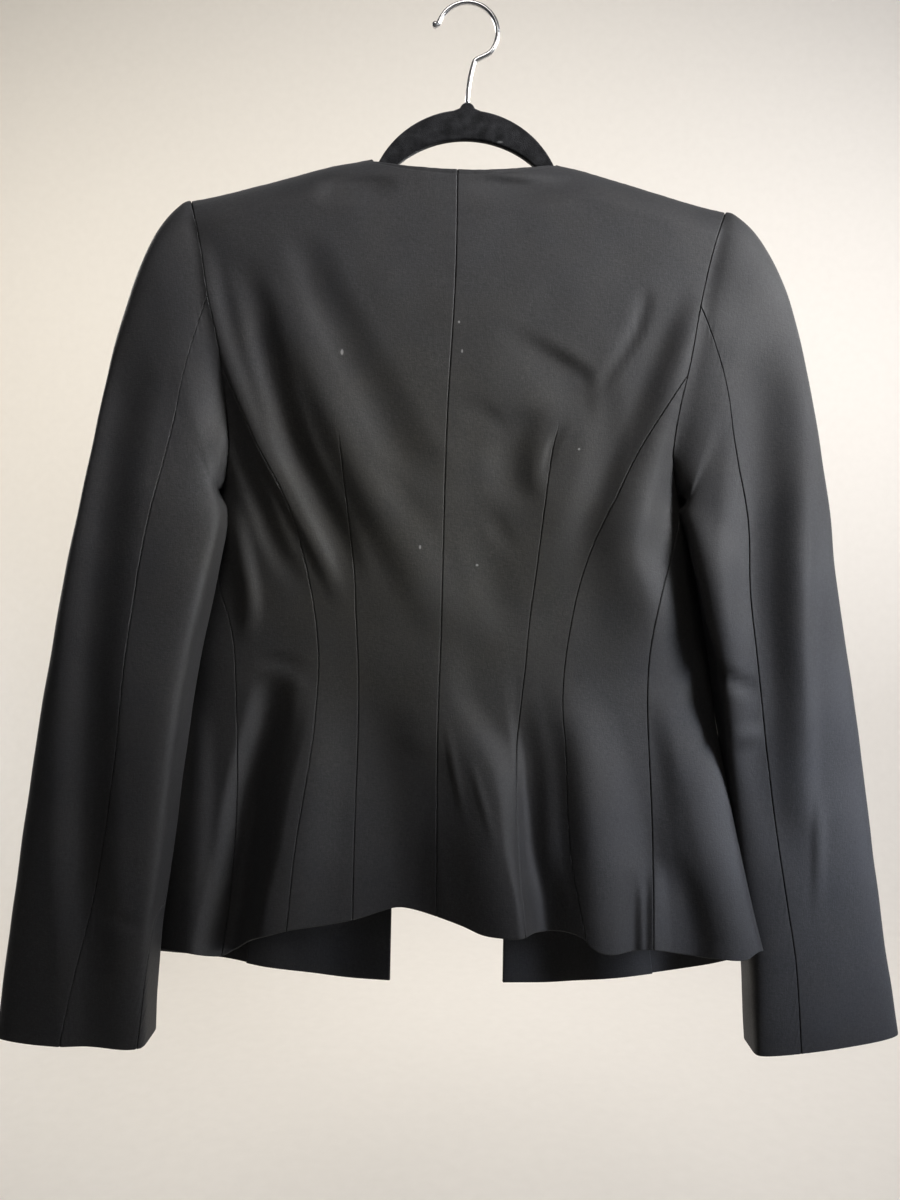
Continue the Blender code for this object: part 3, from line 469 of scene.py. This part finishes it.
def read(table, column, at, key="height"):
    keys = [getattr(row, key) for row in table]
    values = [getattr(row, column) for row in table]
    return smooth_read(keys, values, at)


def read_ring(table, column, at):
    return smooth_read(np.arange(len(table)), [getattr(row, column) for row in table], at)


def ease(t):
    t = np.clip(t, 0, 1)
    return t * t * (3 - 2 * t)


def mix(a, b, t):
    return a + (b - a) * t


def along_sight(x, y, z):
    """Points at depth y on the lines of sight through (x, z) in the hanger's plane."""
    scale = (SIGHT_DISTANCE + y) / SIGHT_DISTANCE
    return np.stack([JACKET_X + x * scale, y + 0 * x, SIGHT_HEIGHT + (z - SIGHT_HEIGHT) * scale], axis=-1)


def seen(points):
    """Where points appear in the hanger's plane."""
    scale = SIGHT_DISTANCE / (SIGHT_DISTANCE + points[..., 1])
    return (points[..., 0] - JACKET_X) * scale, SIGHT_HEIGHT + (points[..., 2] - SIGHT_HEIGHT) * scale


def fold_rise(folds, x, z):
    """How far the folds lift the cloth at the points seen at (x, z)."""
    step = 0.001
    total = np.zeros_like(x)
    for fold in folds:
        level = np.ptp(fold.x) > np.ptp(fold.z)
        keys, path = (fold.x, fold.z) if level else (fold.z, fold.x)
        keys = np.array(keys) / 1000
        path = np.array(path) / 1000
        reach = max(fold.low + fold.high) / 1000
        other = z if level else x
        near = (other > path.min() - 3 * reach) & (other < path.max() + 3 * reach)
        other = other[near]
        place = (x if level else z)[near]
        line = smooth_read(keys, path, place)
        slope = (smooth_read(keys, path, place + step) - smooth_read(keys, path, place - step)) / (2 * step)
        offset = (other - line) / np.sqrt(1 + slope ** 2)
        along = np.clip((place - keys[0]) / (keys[-1] - keys[0]), 0, 1)
        width = np.where(offset < 0, mix(*fold.low, along), mix(*fold.high, along)) / 1000
        profile = 0.5 + 0.5 * np.cos(np.pi * np.clip(np.abs(offset) / width, 0, 1))
        total[near] += smooth_read(keys, np.array(fold.rise) / 1000, place, level_ends=True) * profile
    return total


def shoulder_height(x):
    return read(SHOULDER_LINE, "height", np.abs(x), "across")


def section(choice, first, second, z):
    """One column of the sections where a choice holds and another one elsewhere."""
    return np.where(choice, read(SECTIONS, first, z), read(SECTIONS, second, z))


def half_width(angle, z):
    return section(angle > 0, "right", "left", z)


def body_seen(angle, z):
    """Body surface as seen: angle 0 is the centre back, a right angle the side edge."""
    x = half_width(angle, z) * np.sin(angle)
    cosine = np.cos(angle)
    at_back = cosine > 0
    edge = section(angle > 0, "edge_right", "edge_left", z)
    centre = section(at_back, "back", "front", z)
    fullness = section(at_back, "full_back", "full_front", z)
    depth = mix(edge, centre, np.abs(cosine) ** fullness)
    drop = np.clip((shoulder_height(x) - z) / SHOULDER_ROUND, 0, 1)
    depth = depth * np.sqrt(1 - (1 - drop) ** 2)
    fade = ease(np.abs(cosine) / EDGE_FADE)
    rise = np.where(at_back, -fold_rise(BACK_FOLDS, x, z), fold_rise(FRONT_FOLDS, x, z))
    return x, depth + rise * fade, z


def body(angle, z):
    return along_sight(*body_seen(angle, z))


def unit(vectors):
    return vectors / np.linalg.norm(vectors, axis=-1, keepdims=True)


def body_normal(angle, z):
    """Outward normals of the body surface. On the shoulder line they point straight up."""
    turn = 0.004
    lift = 0.0008
    across = body(angle + turn, z) - body(angle - turn, z)
    down = body(angle, z - lift) - body(angle, z + lift)
    normal = np.cross(down, across)
    on_ridge = shoulder_height(half_width(angle, z) * np.sin(angle)) - z < lift / 4
    normal[..., 1] = np.where(on_ridge, 0, normal[..., 1])
    return unit(normal)


def angle_at(x, z, front=False):
    """Angle round the body of the points seen at x."""
    angle = np.arcsin(np.clip(x / half_width(x, z), -1, 1))
    return np.where(front, np.copysign(np.pi, x) - angle, angle)


def armhole_x(side, z):
    """Armhole seam as seen, turning out to the side edge under the arm."""
    turn = np.clip((UNDERARM_TURN - z) / (UNDERARM_TURN - UNDERARM), 0, 1)
    seam = read(ARMHOLE, side, z)
    return mix(seam, SIGN[side] * half_width(SIGN[side], z), 1 - np.sqrt(1 - turn ** 2))


def neck_height(x):
    """Back neckline, a shallow curve between the neck points, and the shoulder line outside them."""
    across = (x - NECK_CENTRE) / NECK_HALF
    neck = NECK_CORNER - NECK_DROP * (1 - across ** 2)
    shoulder = shoulder_height(x)
    return (neck + shoulder) / 2 - np.sqrt(((neck - shoulder) / 2) ** 2 + NECK_ROUND ** 2)


def hem_height(x, angle):
    back = read(BACK_HEM, "height", x, "across")
    front = read(FRONT_HEM, "height", x, "across")
    return np.where(np.cos(angle) > 0, back, front)


def settled(line, ending, z):
    """Heights at which lines of the cloth meet an ending that is given over the width."""
    for _ in range(SETTLE_ROUNDS):
        angle = line(z)
        z = ending(half_width(angle, z) * np.sin(angle), angle)
    return z


def spread(count):
    """Places from 0 to 1, crowded towards both ends."""
    even = np.linspace(0, 1, count + 1)
    return even - CROWD * np.sin(2 * np.pi * even) / (2 * np.pi)


def panel_places(lines, top_line, cut):
    """Angle and height of every point of a body panel, row by row from the top, with columns on each line."""
    parts = len(lines) - 1
    share = np.concatenate([[0]] + [part + spread(cut.columns // parts)[1:] for part in range(parts)])

    def line(z):
        angle = mix(lines[0](z), lines[1](z), share)
        for part in range(1, parts):
            angle = np.where(share > part, mix(lines[part](z), lines[part + 1](z), share - part), angle)
        return angle

    tops = settled(line, lambda x, angle: top_line(x), np.full_like(share, NECK_CORNER))
    hems = settled(line, hem_height, np.full_like(share, HEM_START))
    z = mix(tops, hems, spread(cut.rows)[:, None])
    return line(z), z


def edge_runs(points):
    """Distances along the cloth from the first and last column and from the top and bottom row."""
    across = np.cumsum(np.linalg.norm(np.diff(points, axis=1), axis=2), axis=1)
    down = np.cumsum(np.linalg.norm(np.diff(points, axis=0), axis=2), axis=0)
    first = np.pad(across, ((0, 0), (1, 0)))
    top = np.pad(down, ((1, 0), (0, 0)))
    return {"first": first, "last": first[:, -1:] - first, "top": top, "hem": top[-1:] - top}


def waves(x, z):
    """Lift of the cloth's gentle waves."""
    total = np.zeros_like(x)
    for wave in WAVES:
        total += wave.height * np.sin(2 * np.pi * (wave.over_x * x + wave.over_z * z) + wave.start)
    return total


def seam_relief(run, along):
    """Groove of a seam, with faint puckers beside it."""
    dip = -SEAM_DEPTH * np.clip(1 - run / SEAM_WIDTH, 0, 1) ** 2
    ripple = sum(np.sin(along * pucker.rate + pucker.start) for pucker in PUCKERS)
    return dip + PUCKER_HEIGHT * ripple * np.exp(-(run / PUCKER_REACH) ** 2)


def seams_relief(runs, seams):
    """Relief of all the seams on a piece's edges."""
    return sum(seam_relief(runs[edge], runs["first" if edge == "top" else "top"]) for edge in seams)


def free_edge(run):
    """How far a free edge has rounded over, from 0 on the cloth to almost 1 at its end."""
    inside = np.clip(1 - run / EDGE_WIDTH, 0, 1)
    return EDGE_ROUND * (1 - np.sqrt(1 - inside ** 2))


def dart_relief(side, x, z):
    """Groove of the long dart in a back panel."""
    away = np.abs(x - read(DART, side, z))
    return -DART_DEPTH * np.clip(1 - away / DART_WIDTH, 0, 1) ** 2 * ease((DART_TOP[side] - z) / DART_FADE)


def neck_relief(x, run):
    """Fine line that follows the back neckline just below its edge."""
    inside = ease((NECK_HALF - np.abs(x - NECK_CENTRE)) / NECK_LINE)
    return -NECK_LINE_DEPTH * np.exp(-((run - NECK_LINE) / NECK_LINE_WIDTH) ** 2) * inside


def new_object(name, data):
    thing = bpy.data.objects.new(name, data)
    bpy.context.scene.collection.objects.link(thing)
    return thing


def add_object(name, data, finish):
    thing = new_object(name, data)
    data.materials.append(finish)
    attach(thing, "root")
    return thing


def grid_faces(rows, columns, start, flip):
    """Quads of a grid of points numbered row by row from a start."""
    corner = start + np.arange(rows)[:, None] * (columns + 1) + np.arange(columns)
    quads = np.stack([corner, corner + columns + 1, corner + columns + 2, corner + 1], axis=-1).reshape(-1, 4)
    return quads[:, ::-1] if flip else quads


def add_shell(name, node, outside, inside, finish):
    """Closed shell from its outer and inner grids of points."""
    rows, columns = outside.shape[0] - 1, outside.shape[1] - 1
    count = outside.shape[0] * outside.shape[1]
    points = np.concatenate([outside.reshape(-1, 3), inside.reshape(-1, 3)])
    number = np.arange(count).reshape(outside.shape[:2])
    rim = np.concatenate([number[0, :-1], number[:-1, -1], number[-1, :0:-1], number[:0:-1, 0]])
    after = np.roll(rim, -1)
    edge = np.stack([rim, after, after + count, rim + count], axis=-1)
    front = grid_faces(rows, columns, 0, False)
    back = grid_faces(rows, columns, count, True)
    mesh = bpy.data.meshes.new(name)
    mesh.from_pydata(points.tolist(), [], np.concatenate([front, back, edge]).tolist())
    shape = bmesh.new()
    shape.from_mesh(mesh)
    bmesh.ops.recalc_face_normals(shape, faces=shape.faces)
    shape.to_mesh(mesh)
    shape.free()
    mesh.shade_smooth()
    piece = add_object(name, mesh, finish)
    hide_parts(node)
    return piece


def add_sheet(kind, side, points, normals, relief, rounded, finish):
    """A piece of cloth from its points: relief is how far it lifts, rounded how thin its free edges end."""
    outside = points + normals * (relief - rounded * CLOTH / 2)[..., None]
    inside = outside - normals * (CLOTH * (1 - rounded))[..., None]
    node = kind + "_" + side
    piece = add_shell(node + "_cloth", node, outside, inside, finish)


def seam_angle(table, side, front=False):
    """Angle of a seam round the body as a function of height."""
    return lambda z: angle_at(read(table, side, z), z, front)


def centre_back_angle(z):
    return angle_at(read(CENTRE_BACK, "across", z), z)


def armhole_angle(side, front):
    return lambda z: angle_at(armhole_x(side, z), z, front)


def joined(upper, lower, height):
    """One boundary that follows the first line down to a height and the second one below it."""
    return lambda z: np.where(z > height, upper(z), lower(z))


def flat_top(height):
    """A top line at one height."""
    return lambda x: np.full_like(x, height)


def body_panel(kind, side, lines, top_line, seams, finish, inset=0.0):
    """One panel of the body between its first and last line, with its seams, free edges and waves."""
    angle, z = panel_places(lines, top_line, CUTS[kind])
    normals = body_normal(angle, z)
    points = body(angle, z) - normals * inset
    runs = edge_runs(points)
    x = seen(points)[0]
    relief = waves(x, z) + seams_relief(runs, seams)
    rounded = np.zeros_like(z)
    for edge in ("first", "last", "top", "hem"):
        if edge not in seams:
            rounded = np.maximum(rounded, free_edge(runs[edge]))
    if kind == "back":
        relief += dart_relief(side, x, z) + neck_relief(x, runs["top"])
    add_sheet(kind, side, points, normals, relief, rounded, finish)


def add_body(side, finish):
    """Back, side back, front and facing of one half."""
    armhole_back = armhole_angle(side, False)
    armhole_front = armhole_angle(side, True)
    princess = seam_angle(PRINCESS, side)
    side_seam = seam_angle(SIDE, side)
    facing_edge = seam_angle(FACING_EDGE, side, front=True)
    front_edge = seam_angle(FRONT_EDGE, side, front=True)
    back_outer = joined(armhole_back, princess, PRINCESS_TOP)
    side_back_outer = joined(armhole_back, side_seam, UNDERARM)
    front_outer = joined(armhole_front, side_seam, UNDERARM)
    body_panel("back", side, (centre_back_angle, seam_angle(DART, side), back_outer), neck_height,
               ("first", "last", "top"), finish)
    body_panel("side_back", side, (princess, side_back_outer), flat_top(PRINCESS_TOP - PRINCESS_START),
               ("first", "last"), finish)
    body_panel("front", side, (front_outer, front_edge), shoulder_height, ("first", "top"), finish)
    body_panel("facing", side, (facing_edge, front_edge), flat_top(FACING_TOP), (), finish,
               CLOTH + SEAM_GAP)


def armhole_place(side, turn):
    """Places on the armhole loop: 0 is the shoulder, a half turn the underarm, the back comes first."""
    line = armhole_angle(side, False)
    top = settled(line, lambda x, angle: shoulder_height(x), np.full(1, NECK_CORNER))[0]
    z = mix(top, UNDERARM, 0.5 - 0.5 * np.cos(turn))
    return angle_at(armhole_x(side, z), z, turn % (2 * np.pi) > np.pi), z


def sleeve_point(side, at, turn):
    """Points of a sleeve: at runs along its rings, turn goes round from its outer edge over the back.

    The section is rounder at the armhole, and near the underarm its back stands out from the armhole at once.
    """
    table = SLEEVES[side]
    outer = along_sight(*(read_ring(table, "outer_" + axis, at) for axis in "xyz"))
    inner = along_sight(*(read_ring(table, "inner_" + axis, at) for axis in "xyz"))
    ring = (outer + inner) / 2 + (outer - inner) / 2 * np.cos(turn)[..., None]
    fullness = mix(ARMHOLE_FULLNESS, SLEEVE_FULLNESS, ease(at / SLEEVE_FLAT_RINGS))
    sine = np.sin(turn)
    ring[..., 1] -= read_ring(table, "half", at) * np.sign(sine) * np.abs(sine) ** fullness
    head = np.clip(at / SLEEVE_HEAD_RINGS, 0, 1)
    even = head * (2 - head)
    underarm = ease((np.cos(turn) - UNDERARM_FROM) / (UNDERARM_TO - UNDERARM_FROM)) * ease(sine / EDGE_FADE)
    depth = mix(even, 1 - (1 - head) ** UNDERARM_STEP, underarm)
    return mix(body(*armhole_place(side, turn)), ring, np.stack([even, depth, even], axis=-1))


def sleeve_normal(side, at, turn):
    """Outward normals of a sleeve."""
    step = 0.03
    last = len(SLEEVES[side]) - 1
    below = sleeve_point(side, np.minimum(at + step, last), turn)
    above = sleeve_point(side, np.maximum(at - step, 0), turn)
    across = sleeve_point(side, at, turn + step) - sleeve_point(side, at, turn - step)
    return unit(np.cross(across, below - above)) * SIGN[side]


def sleeve_panel(kind, side, first_turn, last_turn, finish):
    """One piece of a sleeve between two of its seams."""
    cut = CUTS[kind]
    at = (len(SLEEVES[side]) - 1) * spread(cut.rows)[:, None] + np.zeros(cut.columns + 1)
    turn = mix(first_turn(at), last_turn(at), spread(cut.columns))
    points = sleeve_point(side, at, turn)
    normals = sleeve_normal(side, at, turn)
    runs = edge_runs(points)
    x, z = seen(points)
    fade = ease(np.abs(np.sin(turn)) / EDGE_FADE)
    relief = waves(x, z) + fold_rise(SLEEVE_FOLDS[side], x, z) * fade
    relief += seams_relief(runs, ("first", "last", "top"))
    tuck = points[:1] - unit(points[1:2] - points[:1]) * TUCK - normals[:1] * CLOTH
    points = np.concatenate([tuck, points])
    normals = np.concatenate([normals[:1], normals])
    relief = np.concatenate([relief[:1], relief])
    rounded = free_edge(runs["hem"])
    rounded = np.concatenate([rounded[:1], rounded])
    add_sheet(kind, side, points, normals, relief, rounded, finish)


def add_sleeve(side, finish):
    """Top sleeve over the outer edge and under sleeve along the body."""
    def seam(column, rounds_back=0):
        return lambda at: np.radians(read_ring(SLEEVES[side], column, at)) - rounds_back * 2 * np.pi

    sleeve_panel("top_sleeve", side, seam("inner_seam", 1), seam("back_seam"), finish)
    sleeve_panel("under_sleeve", side, seam("back_seam"), seam("inner_seam"), finish)


def bow_points(bow, middle=0.0):
    """Points of a circle arc whose centre lies over the given middle."""
    centre = bow.top - bow.radius
    angles = np.radians(np.linspace(bow.start, bow.end, bow.steps + 1))
    return [(middle + bow.radius * math.cos(angle), centre + bow.radius * math.sin(angle))
            for angle in angles]


def arm_top(x):
    """Top of a hanger arm, just under the cloth of the shoulder."""
    return float(shoulder_height(x - JACKET_X)) - CLOTH - ARM_CLEARANCE


def hanger_outline(sign):
    """Half of the hanger's outline, from the boss down to the middle of the inside of the arch."""
    arm = [(x, arm_top(sign * x)) for x in np.linspace(ARM_START, ARM_END, ARM_STEPS + 1)]
    points = bow_points(BOSS) + bow_points(ARCH) + arm
    points.append((ARM_END + ARM_END_DEPTH / 3, arm_top(sign * ARM_END) - ARM_END_DEPTH / 2))
    for x, top in reversed(arm):
        points.append((x, top - mix(ARM_END_DEPTH, ARM_DEPTH, (ARM_END - x) / (ARM_END - ARM_START))))
    points += bow_points(ARCH_INSIDE)
    return [(sign * x, z) for x, z in points]


def add_hanger(finish):
    """Arch and arms: an outline with thickness and rounded edges."""
    right = hanger_outline(1)
    left = hanger_outline(-1)[-2:0:-1]
    shape = bmesh.new()
    face = shape.faces.new([shape.verts.new((x, -HANGER_HALF, z)) for x, z in right + left])
    grown = bmesh.ops.extrude_face_region(shape, geom=[face])
    verts = [item for item in grown["geom"] if isinstance(item, bmesh.types.BMVert)]
    bmesh.ops.translate(shape, verts=verts, vec=(0, 2 * HANGER_HALF, 0))
    bmesh.ops.recalc_face_normals(shape, faces=shape.faces)
    mesh = bpy.data.meshes.new("hanger_flocked")
    shape.to_mesh(mesh)
    shape.free()
    mesh.shade_smooth()
    hanger = add_object("hanger_flocked", mesh, finish)
    bevel = hanger.modifiers.new("rounded edges", "BEVEL")
    bevel.width = HANGER_EDGE
    bevel.segments = 4
    bevel.limit_method = "ANGLE"
    bevel.angle_limit = math.radians(60)
    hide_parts("hanger_body")


def hook_points():
    """Middle of the wire: from the free end over the top, back to the kink and down the shaft."""
    points = bow_points(HOOK, HOOK_CENTRE_X)
    lower = Place(*points[-1])
    start, end = HOOK_BEND
    shares = np.linspace(0, 1, HOOK_STEPS + 1)[1:]
    for t in shares:
        points.append((hermite(lower.across, HOOK_KINK.across, start.across, end.across, t),
                       hermite(lower.height, HOOK_KINK.height, start.height, end.height, t)))
    for t in shares:
        points.append((HOOK_KINK.across * (1 - t) ** 2, mix(HOOK_KINK.height, BOSS.top + SEAM_GAP, t)))
    return points


def add_hook(finish):
    """Wire hook with a small ball at its free end."""
    path = [Vector((x, 0, z)) for x, z in hook_points()]
    outward = Vector(HOOK_TIP).normalized()
    places = [(path[0] + outward * WIRE * reach, size) for reach, size in BALL_SHAPE]
    places += [(point, 1.0) for point in path]
    curve = bpy.data.curves.new("hanger_wire", "CURVE")
    curve.dimensions = "3D"
    curve.bevel_depth = WIRE
    curve.bevel_resolution = 6
    curve.use_fill_caps = True
    spline = curve.splines.new("POLY")
    spline.points.add(len(places) - 1)
    for point, (place, size) in zip(spline.points, places):
        point.co = (*place, 1.0)
        point.radius = size
    spline.use_smooth = True
    wire = add_object("hanger_wire", curve, finish)
    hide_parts("hanger_hook")


def new_material(name):
    made = bpy.data.materials.new(name)
    made.use_nodes = True
    return made, made.node_tree


def set_inputs(node, values):
    for name, value in values.items():
        node.inputs[name].default_value = value


def add_mapping(tree, kind, scale):
    """Places in the object's own metres, scaled."""
    place = tree.nodes.new("ShaderNodeTexCoord")
    mapping = tree.nodes.new("ShaderNodeMapping")
    mapping.vector_type = kind
    mapping.inputs["Scale"].default_value = scale
    tree.links.new(place.outputs["Object"], mapping.inputs["Vector"])
    return mapping


def add_noise(tree, scale, detail, stretch=(1, 1, 1)):
    mapping = add_mapping(tree, "POINT", stretch)
    noise = tree.nodes.new("ShaderNodeTexNoise")
    set_inputs(noise, {"Scale": scale, "Detail": detail})
    tree.links.new(mapping.outputs["Vector"], noise.inputs["Vector"])
    return noise.outputs["Fac"]


def add_ramp(tree, value, shades, span=NOISE_SPAN):
    """Colour that runs from one shade to the other while a value goes over a span."""
    ramp = tree.nodes.new("ShaderNodeValToRGB")
    for end in (0, 1):
        ramp.color_ramp.elements[end].position = span[end]
        ramp.color_ramp.elements[end].color = (*shades[end], 1)
    tree.links.new(value, ramp.inputs["Fac"])
    return ramp.outputs["Color"]


def add_range(tree, value, ends, span=NOISE_SPAN, kind="LINEAR"):
    """Number that runs from one end to the other while a value goes over a span."""
    scale = tree.nodes.new("ShaderNodeMapRange")
    scale.interpolation_type = kind
    set_inputs(scale, {"From Min": span[0], "From Max": span[1], "To Min": ends[0], "To Max": ends[1]})
    tree.links.new(value, scale.inputs["Value"])
    return scale.outputs["Result"]


def add_bump(tree, value, strength, distance, before=None):
    bump = tree.nodes.new("ShaderNodeBump")
    set_inputs(bump, {"Strength": strength, "Distance": distance})
    tree.links.new(value, bump.inputs["Height"])
    if before:
        tree.links.new(before, bump.inputs["Normal"])
    return bump.outputs["Normal"]


def multiplied(tree, first, second):
    blend = tree.nodes.new("ShaderNodeMix")
    blend.data_type = "RGBA"
    blend.blend_type = "MULTIPLY"
    blend.inputs["Factor"].default_value = 1.0
    tree.links.new(first, blend.inputs["A"])
    tree.links.new(second, blend.inputs["B"])
    return blend.outputs["Result"]


def add_spot(tree, spot, depth, fade):
    """How far a point lies inside a spot that is long in depth and fades between two shares of its size."""
    mapping = add_mapping(tree, "TEXTURE", (spot.wide, max(spot.wide, spot.high) * 4, spot.high))
    mapping.inputs["Location"].default_value = along_sight(spot.x, depth, spot.z)
    length = tree.nodes.new("ShaderNodeVectorMath")
    length.operation = "LENGTH"
    tree.links.new(mapping.outputs["Vector"], length.inputs[0])
    return add_range(tree, length.outputs["Value"], (1, 0), fade, "SMOOTHSTEP")


def body_depth(spot):
    """Depth of the back where a spot is seen on it."""
    x = np.array([spot.x])
    z = np.array([spot.z])
    return float(body_seen(angle_at(x, z), z)[1][0])


def add_marks(tree, colour, spots, mark):
    """Cover a colour with a mark where the spots are."""
    for spot in spots:
        blend = tree.nodes.new("ShaderNodeMix")
        blend.data_type = "RGBA"
        tree.links.new(spot, blend.inputs["Factor"])
        tree.links.new(colour, blend.inputs["A"])
        blend.inputs["B"].default_value = (*mark, 1)
        colour = blend.outputs["Result"]
    return colour


def twill_material():
    """Black suiting: uneven fine threads both ways, mottled, with a painted warm highlight at the waist
    fading to a slightly cool painted tone outside, with lint.
    """
    made, tree = new_material("black suiting twill")
    shader = tree.nodes["Principled BSDF"]
    warp = add_noise(tree, scale=1, detail=2, stretch=(1100, 500, 330))
    weft = add_noise(tree, scale=1, detail=2, stretch=(330, 500, 1100))
    fibres = add_noise(tree, scale=1700, detail=2)
    cloud = add_noise(tree, scale=11, detail=4)
    blotch = add_noise(tree, scale=38, detail=3)
    # Painted light: the base colour is painted lighter and warmer round the waist as a highlight, and
    # slightly cool away from it
    waist_highlight = add_spot(tree, WAIST_HIGHLIGHT, body_depth(WAIST_HIGHLIGHT), fade=(0.3, 1.9))
    tint = add_ramp(tree, waist_highlight, TWILL_HIGHLIGHT_TINTS, span=(0, 1))
    colour = multiplied(tree, add_ramp(tree, cloud, TWILL_SHADES), tint)
    colour = multiplied(tree, colour, add_ramp(tree, blotch, TWILL_MOTTLE))
    for threads, depth in ((warp, 0.24), (weft, 0.24), (fibres, 0.30)):
        grain = add_ramp(tree, threads, ((1 - depth,) * 3, (1 + depth,) * 3), span=(0.25, 0.75))
        colour = multiplied(tree, colour, grain)
    lint = [add_spot(tree, speck, body_depth(speck), fade=(0.4, 1.0)) for speck in LINT]
    colour = add_marks(tree, colour, lint, mark=(0.16, 0.155, 0.15))
    tree.links.new(colour, shader.inputs["Base Color"])
    tree.links.new(add_range(tree, cloud, ends=(0.66, 0.76)), shader.inputs["Roughness"])
    normal = None
    for threads in (fibres, warp, weft):
        normal = add_bump(tree, threads, strength=0.4, distance=0.0002, before=normal)
    tree.links.new(normal, shader.inputs["Normal"])
    set_inputs(shader, {"Specular IOR Level": 0.4, "Sheen Weight": 0.02, "Sheen Roughness": 0.45,
                        "Sheen Tint": (0.8, 0.82, 0.86, 1)})
    return made


def flock_material():
    """Black flock: short dense fibres that catch a little light at the edges, rubbed pale in one place."""
    made, tree = new_material("black flock")
    shader = tree.nodes["Principled BSDF"]
    fibres = add_noise(tree, scale=1500, detail=3)
    worn = add_noise(tree, scale=170, detail=4)
    base = add_ramp(tree, worn, FLOCK_SHADES, span=(0.35, 0.75))
    colour = multiplied(tree, base, add_ramp(tree, fibres, FLOCK_SPECKLE, span=(0.3, 0.75)))
    rub = add_spot(tree, ARCH_RUB, -HANGER_HALF, fade=(0.2, 1.0))
    colour = add_marks(tree, colour, [rub], mark=(0.10, 0.10, 0.10))
    tree.links.new(colour, shader.inputs["Base Color"])
    tree.links.new(add_bump(tree, fibres, strength=0.9, distance=0.0005), shader.inputs["Normal"])
    set_inputs(shader, {"Roughness": 0.95, "Specular IOR Level": 0.1, "Sheen Weight": 0.25,
                        "Sheen Roughness": 0.4})
    return made


def wire_material():
    """Chromed wire with a faint drawn grain."""
    made, tree = new_material("chromed wire")
    shader = tree.nodes["Principled BSDF"]
    grain = add_noise(tree, scale=900, detail=2)
    tree.links.new(add_ramp(tree, grain, WIRE_SHADES), shader.inputs["Base Color"])
    tree.links.new(add_range(tree, grain, ends=(0.16, 0.26)), shader.inputs["Roughness"])
    set_inputs(shader, {"Metallic": 1.0})
    return made


def pale_material():
    """Pale floor and backdrop."""
    made, tree = new_material("pale studio")
    shader = tree.nodes["Principled BSDF"]
    grain = add_noise(tree, scale=40, detail=3)
    tree.links.new(add_ramp(tree, grain, STUDIO_SHADES), shader.inputs["Base Color"])
    set_inputs(shader, {"Roughness": 0.9})
    return made


def add_stage(finish):
    """Floor that sweeps up into a backdrop."""
    bend = Bow(FLOOR_HEIGHT + 2 * STAGE_BEND, STAGE_BEND, -90, 0, STAGE_STEPS)
    profile = [(-STAGE_HALF, FLOOR_HEIGHT)]
    profile += bow_points(bend, BACKDROP_DISTANCE - STAGE_BEND)
    profile.append((BACKDROP_DISTANCE, BACKDROP_TOP))
    points = [(x, y, z) for y, z in profile for x in (-STAGE_HALF, STAGE_HALF)]
    faces = [(2 * row, 2 * row + 1, 2 * row + 3, 2 * row + 2) for row in range(len(profile) - 1)]
    mesh = bpy.data.meshes.new("floor")
    mesh.from_pydata(points, [], faces)
    mesh.materials.append(finish)
    mesh.shade_smooth()
    floor = new_object("floor", mesh)


def add_lights():
    """Soft lamps aimed at the jacket, the backdrop and the floor, and a pale surround."""
    for lamp in LAMPS:
        light = bpy.data.lights.new(lamp.name, "AREA")
        light.shape = "DISK"
        light.size = lamp.size
        light.energy = lamp.watts
        light.color = lamp.colour
        light.spread = math.radians(lamp.spread)
        thing = new_object(lamp.name, light)
        thing.location = lamp.place
        thing.visible_camera = False
        thing.rotation_euler = (Vector(lamp.aim) - Vector(lamp.place)).to_track_quat("-Z", "Y").to_euler()
    world = bpy.data.worlds.new("pale surround")
    world.use_nodes = True
    set_inputs(world.node_tree.nodes["Background"], {"Color": (*SURROUND, 1), "Strength": SURROUND_STRENGTH})
    bpy.context.scene.world = world
    bpy.context.scene.view_settings.view_transform = "Standard"


def add_camera():
    """Camera behind the jacket, level with its middle and turned a little about its line of sight."""
    camera = bpy.data.cameras.new("camera")
    camera.sensor_width = CAMERA_SENSOR
    camera.lens = CAMERA_LENS
    camera.clip_start = CAMERA_NEAR
    thing = new_object("camera", camera)
    thing.matrix_world = (Matrix.Translation((JACKET_X, -SIGHT_DISTANCE, CAMERA_HEIGHT))
                          @ Matrix.Rotation(math.radians(90), 4, "X")
                          @ Matrix.Rotation(math.radians(CAMERA_ROLL), 4, "Z"))
    bpy.context.scene.camera = thing


def main():
    add_camera()
    twill = twill_material()
    for side in SIGN:
        add_body(side, twill)
        add_sleeve(side, twill)
    add_hanger(flock_material())
    add_hook(wire_material())
    add_stage(pale_material())
    add_lights()
    bpy.context.view_layer.update()


main()
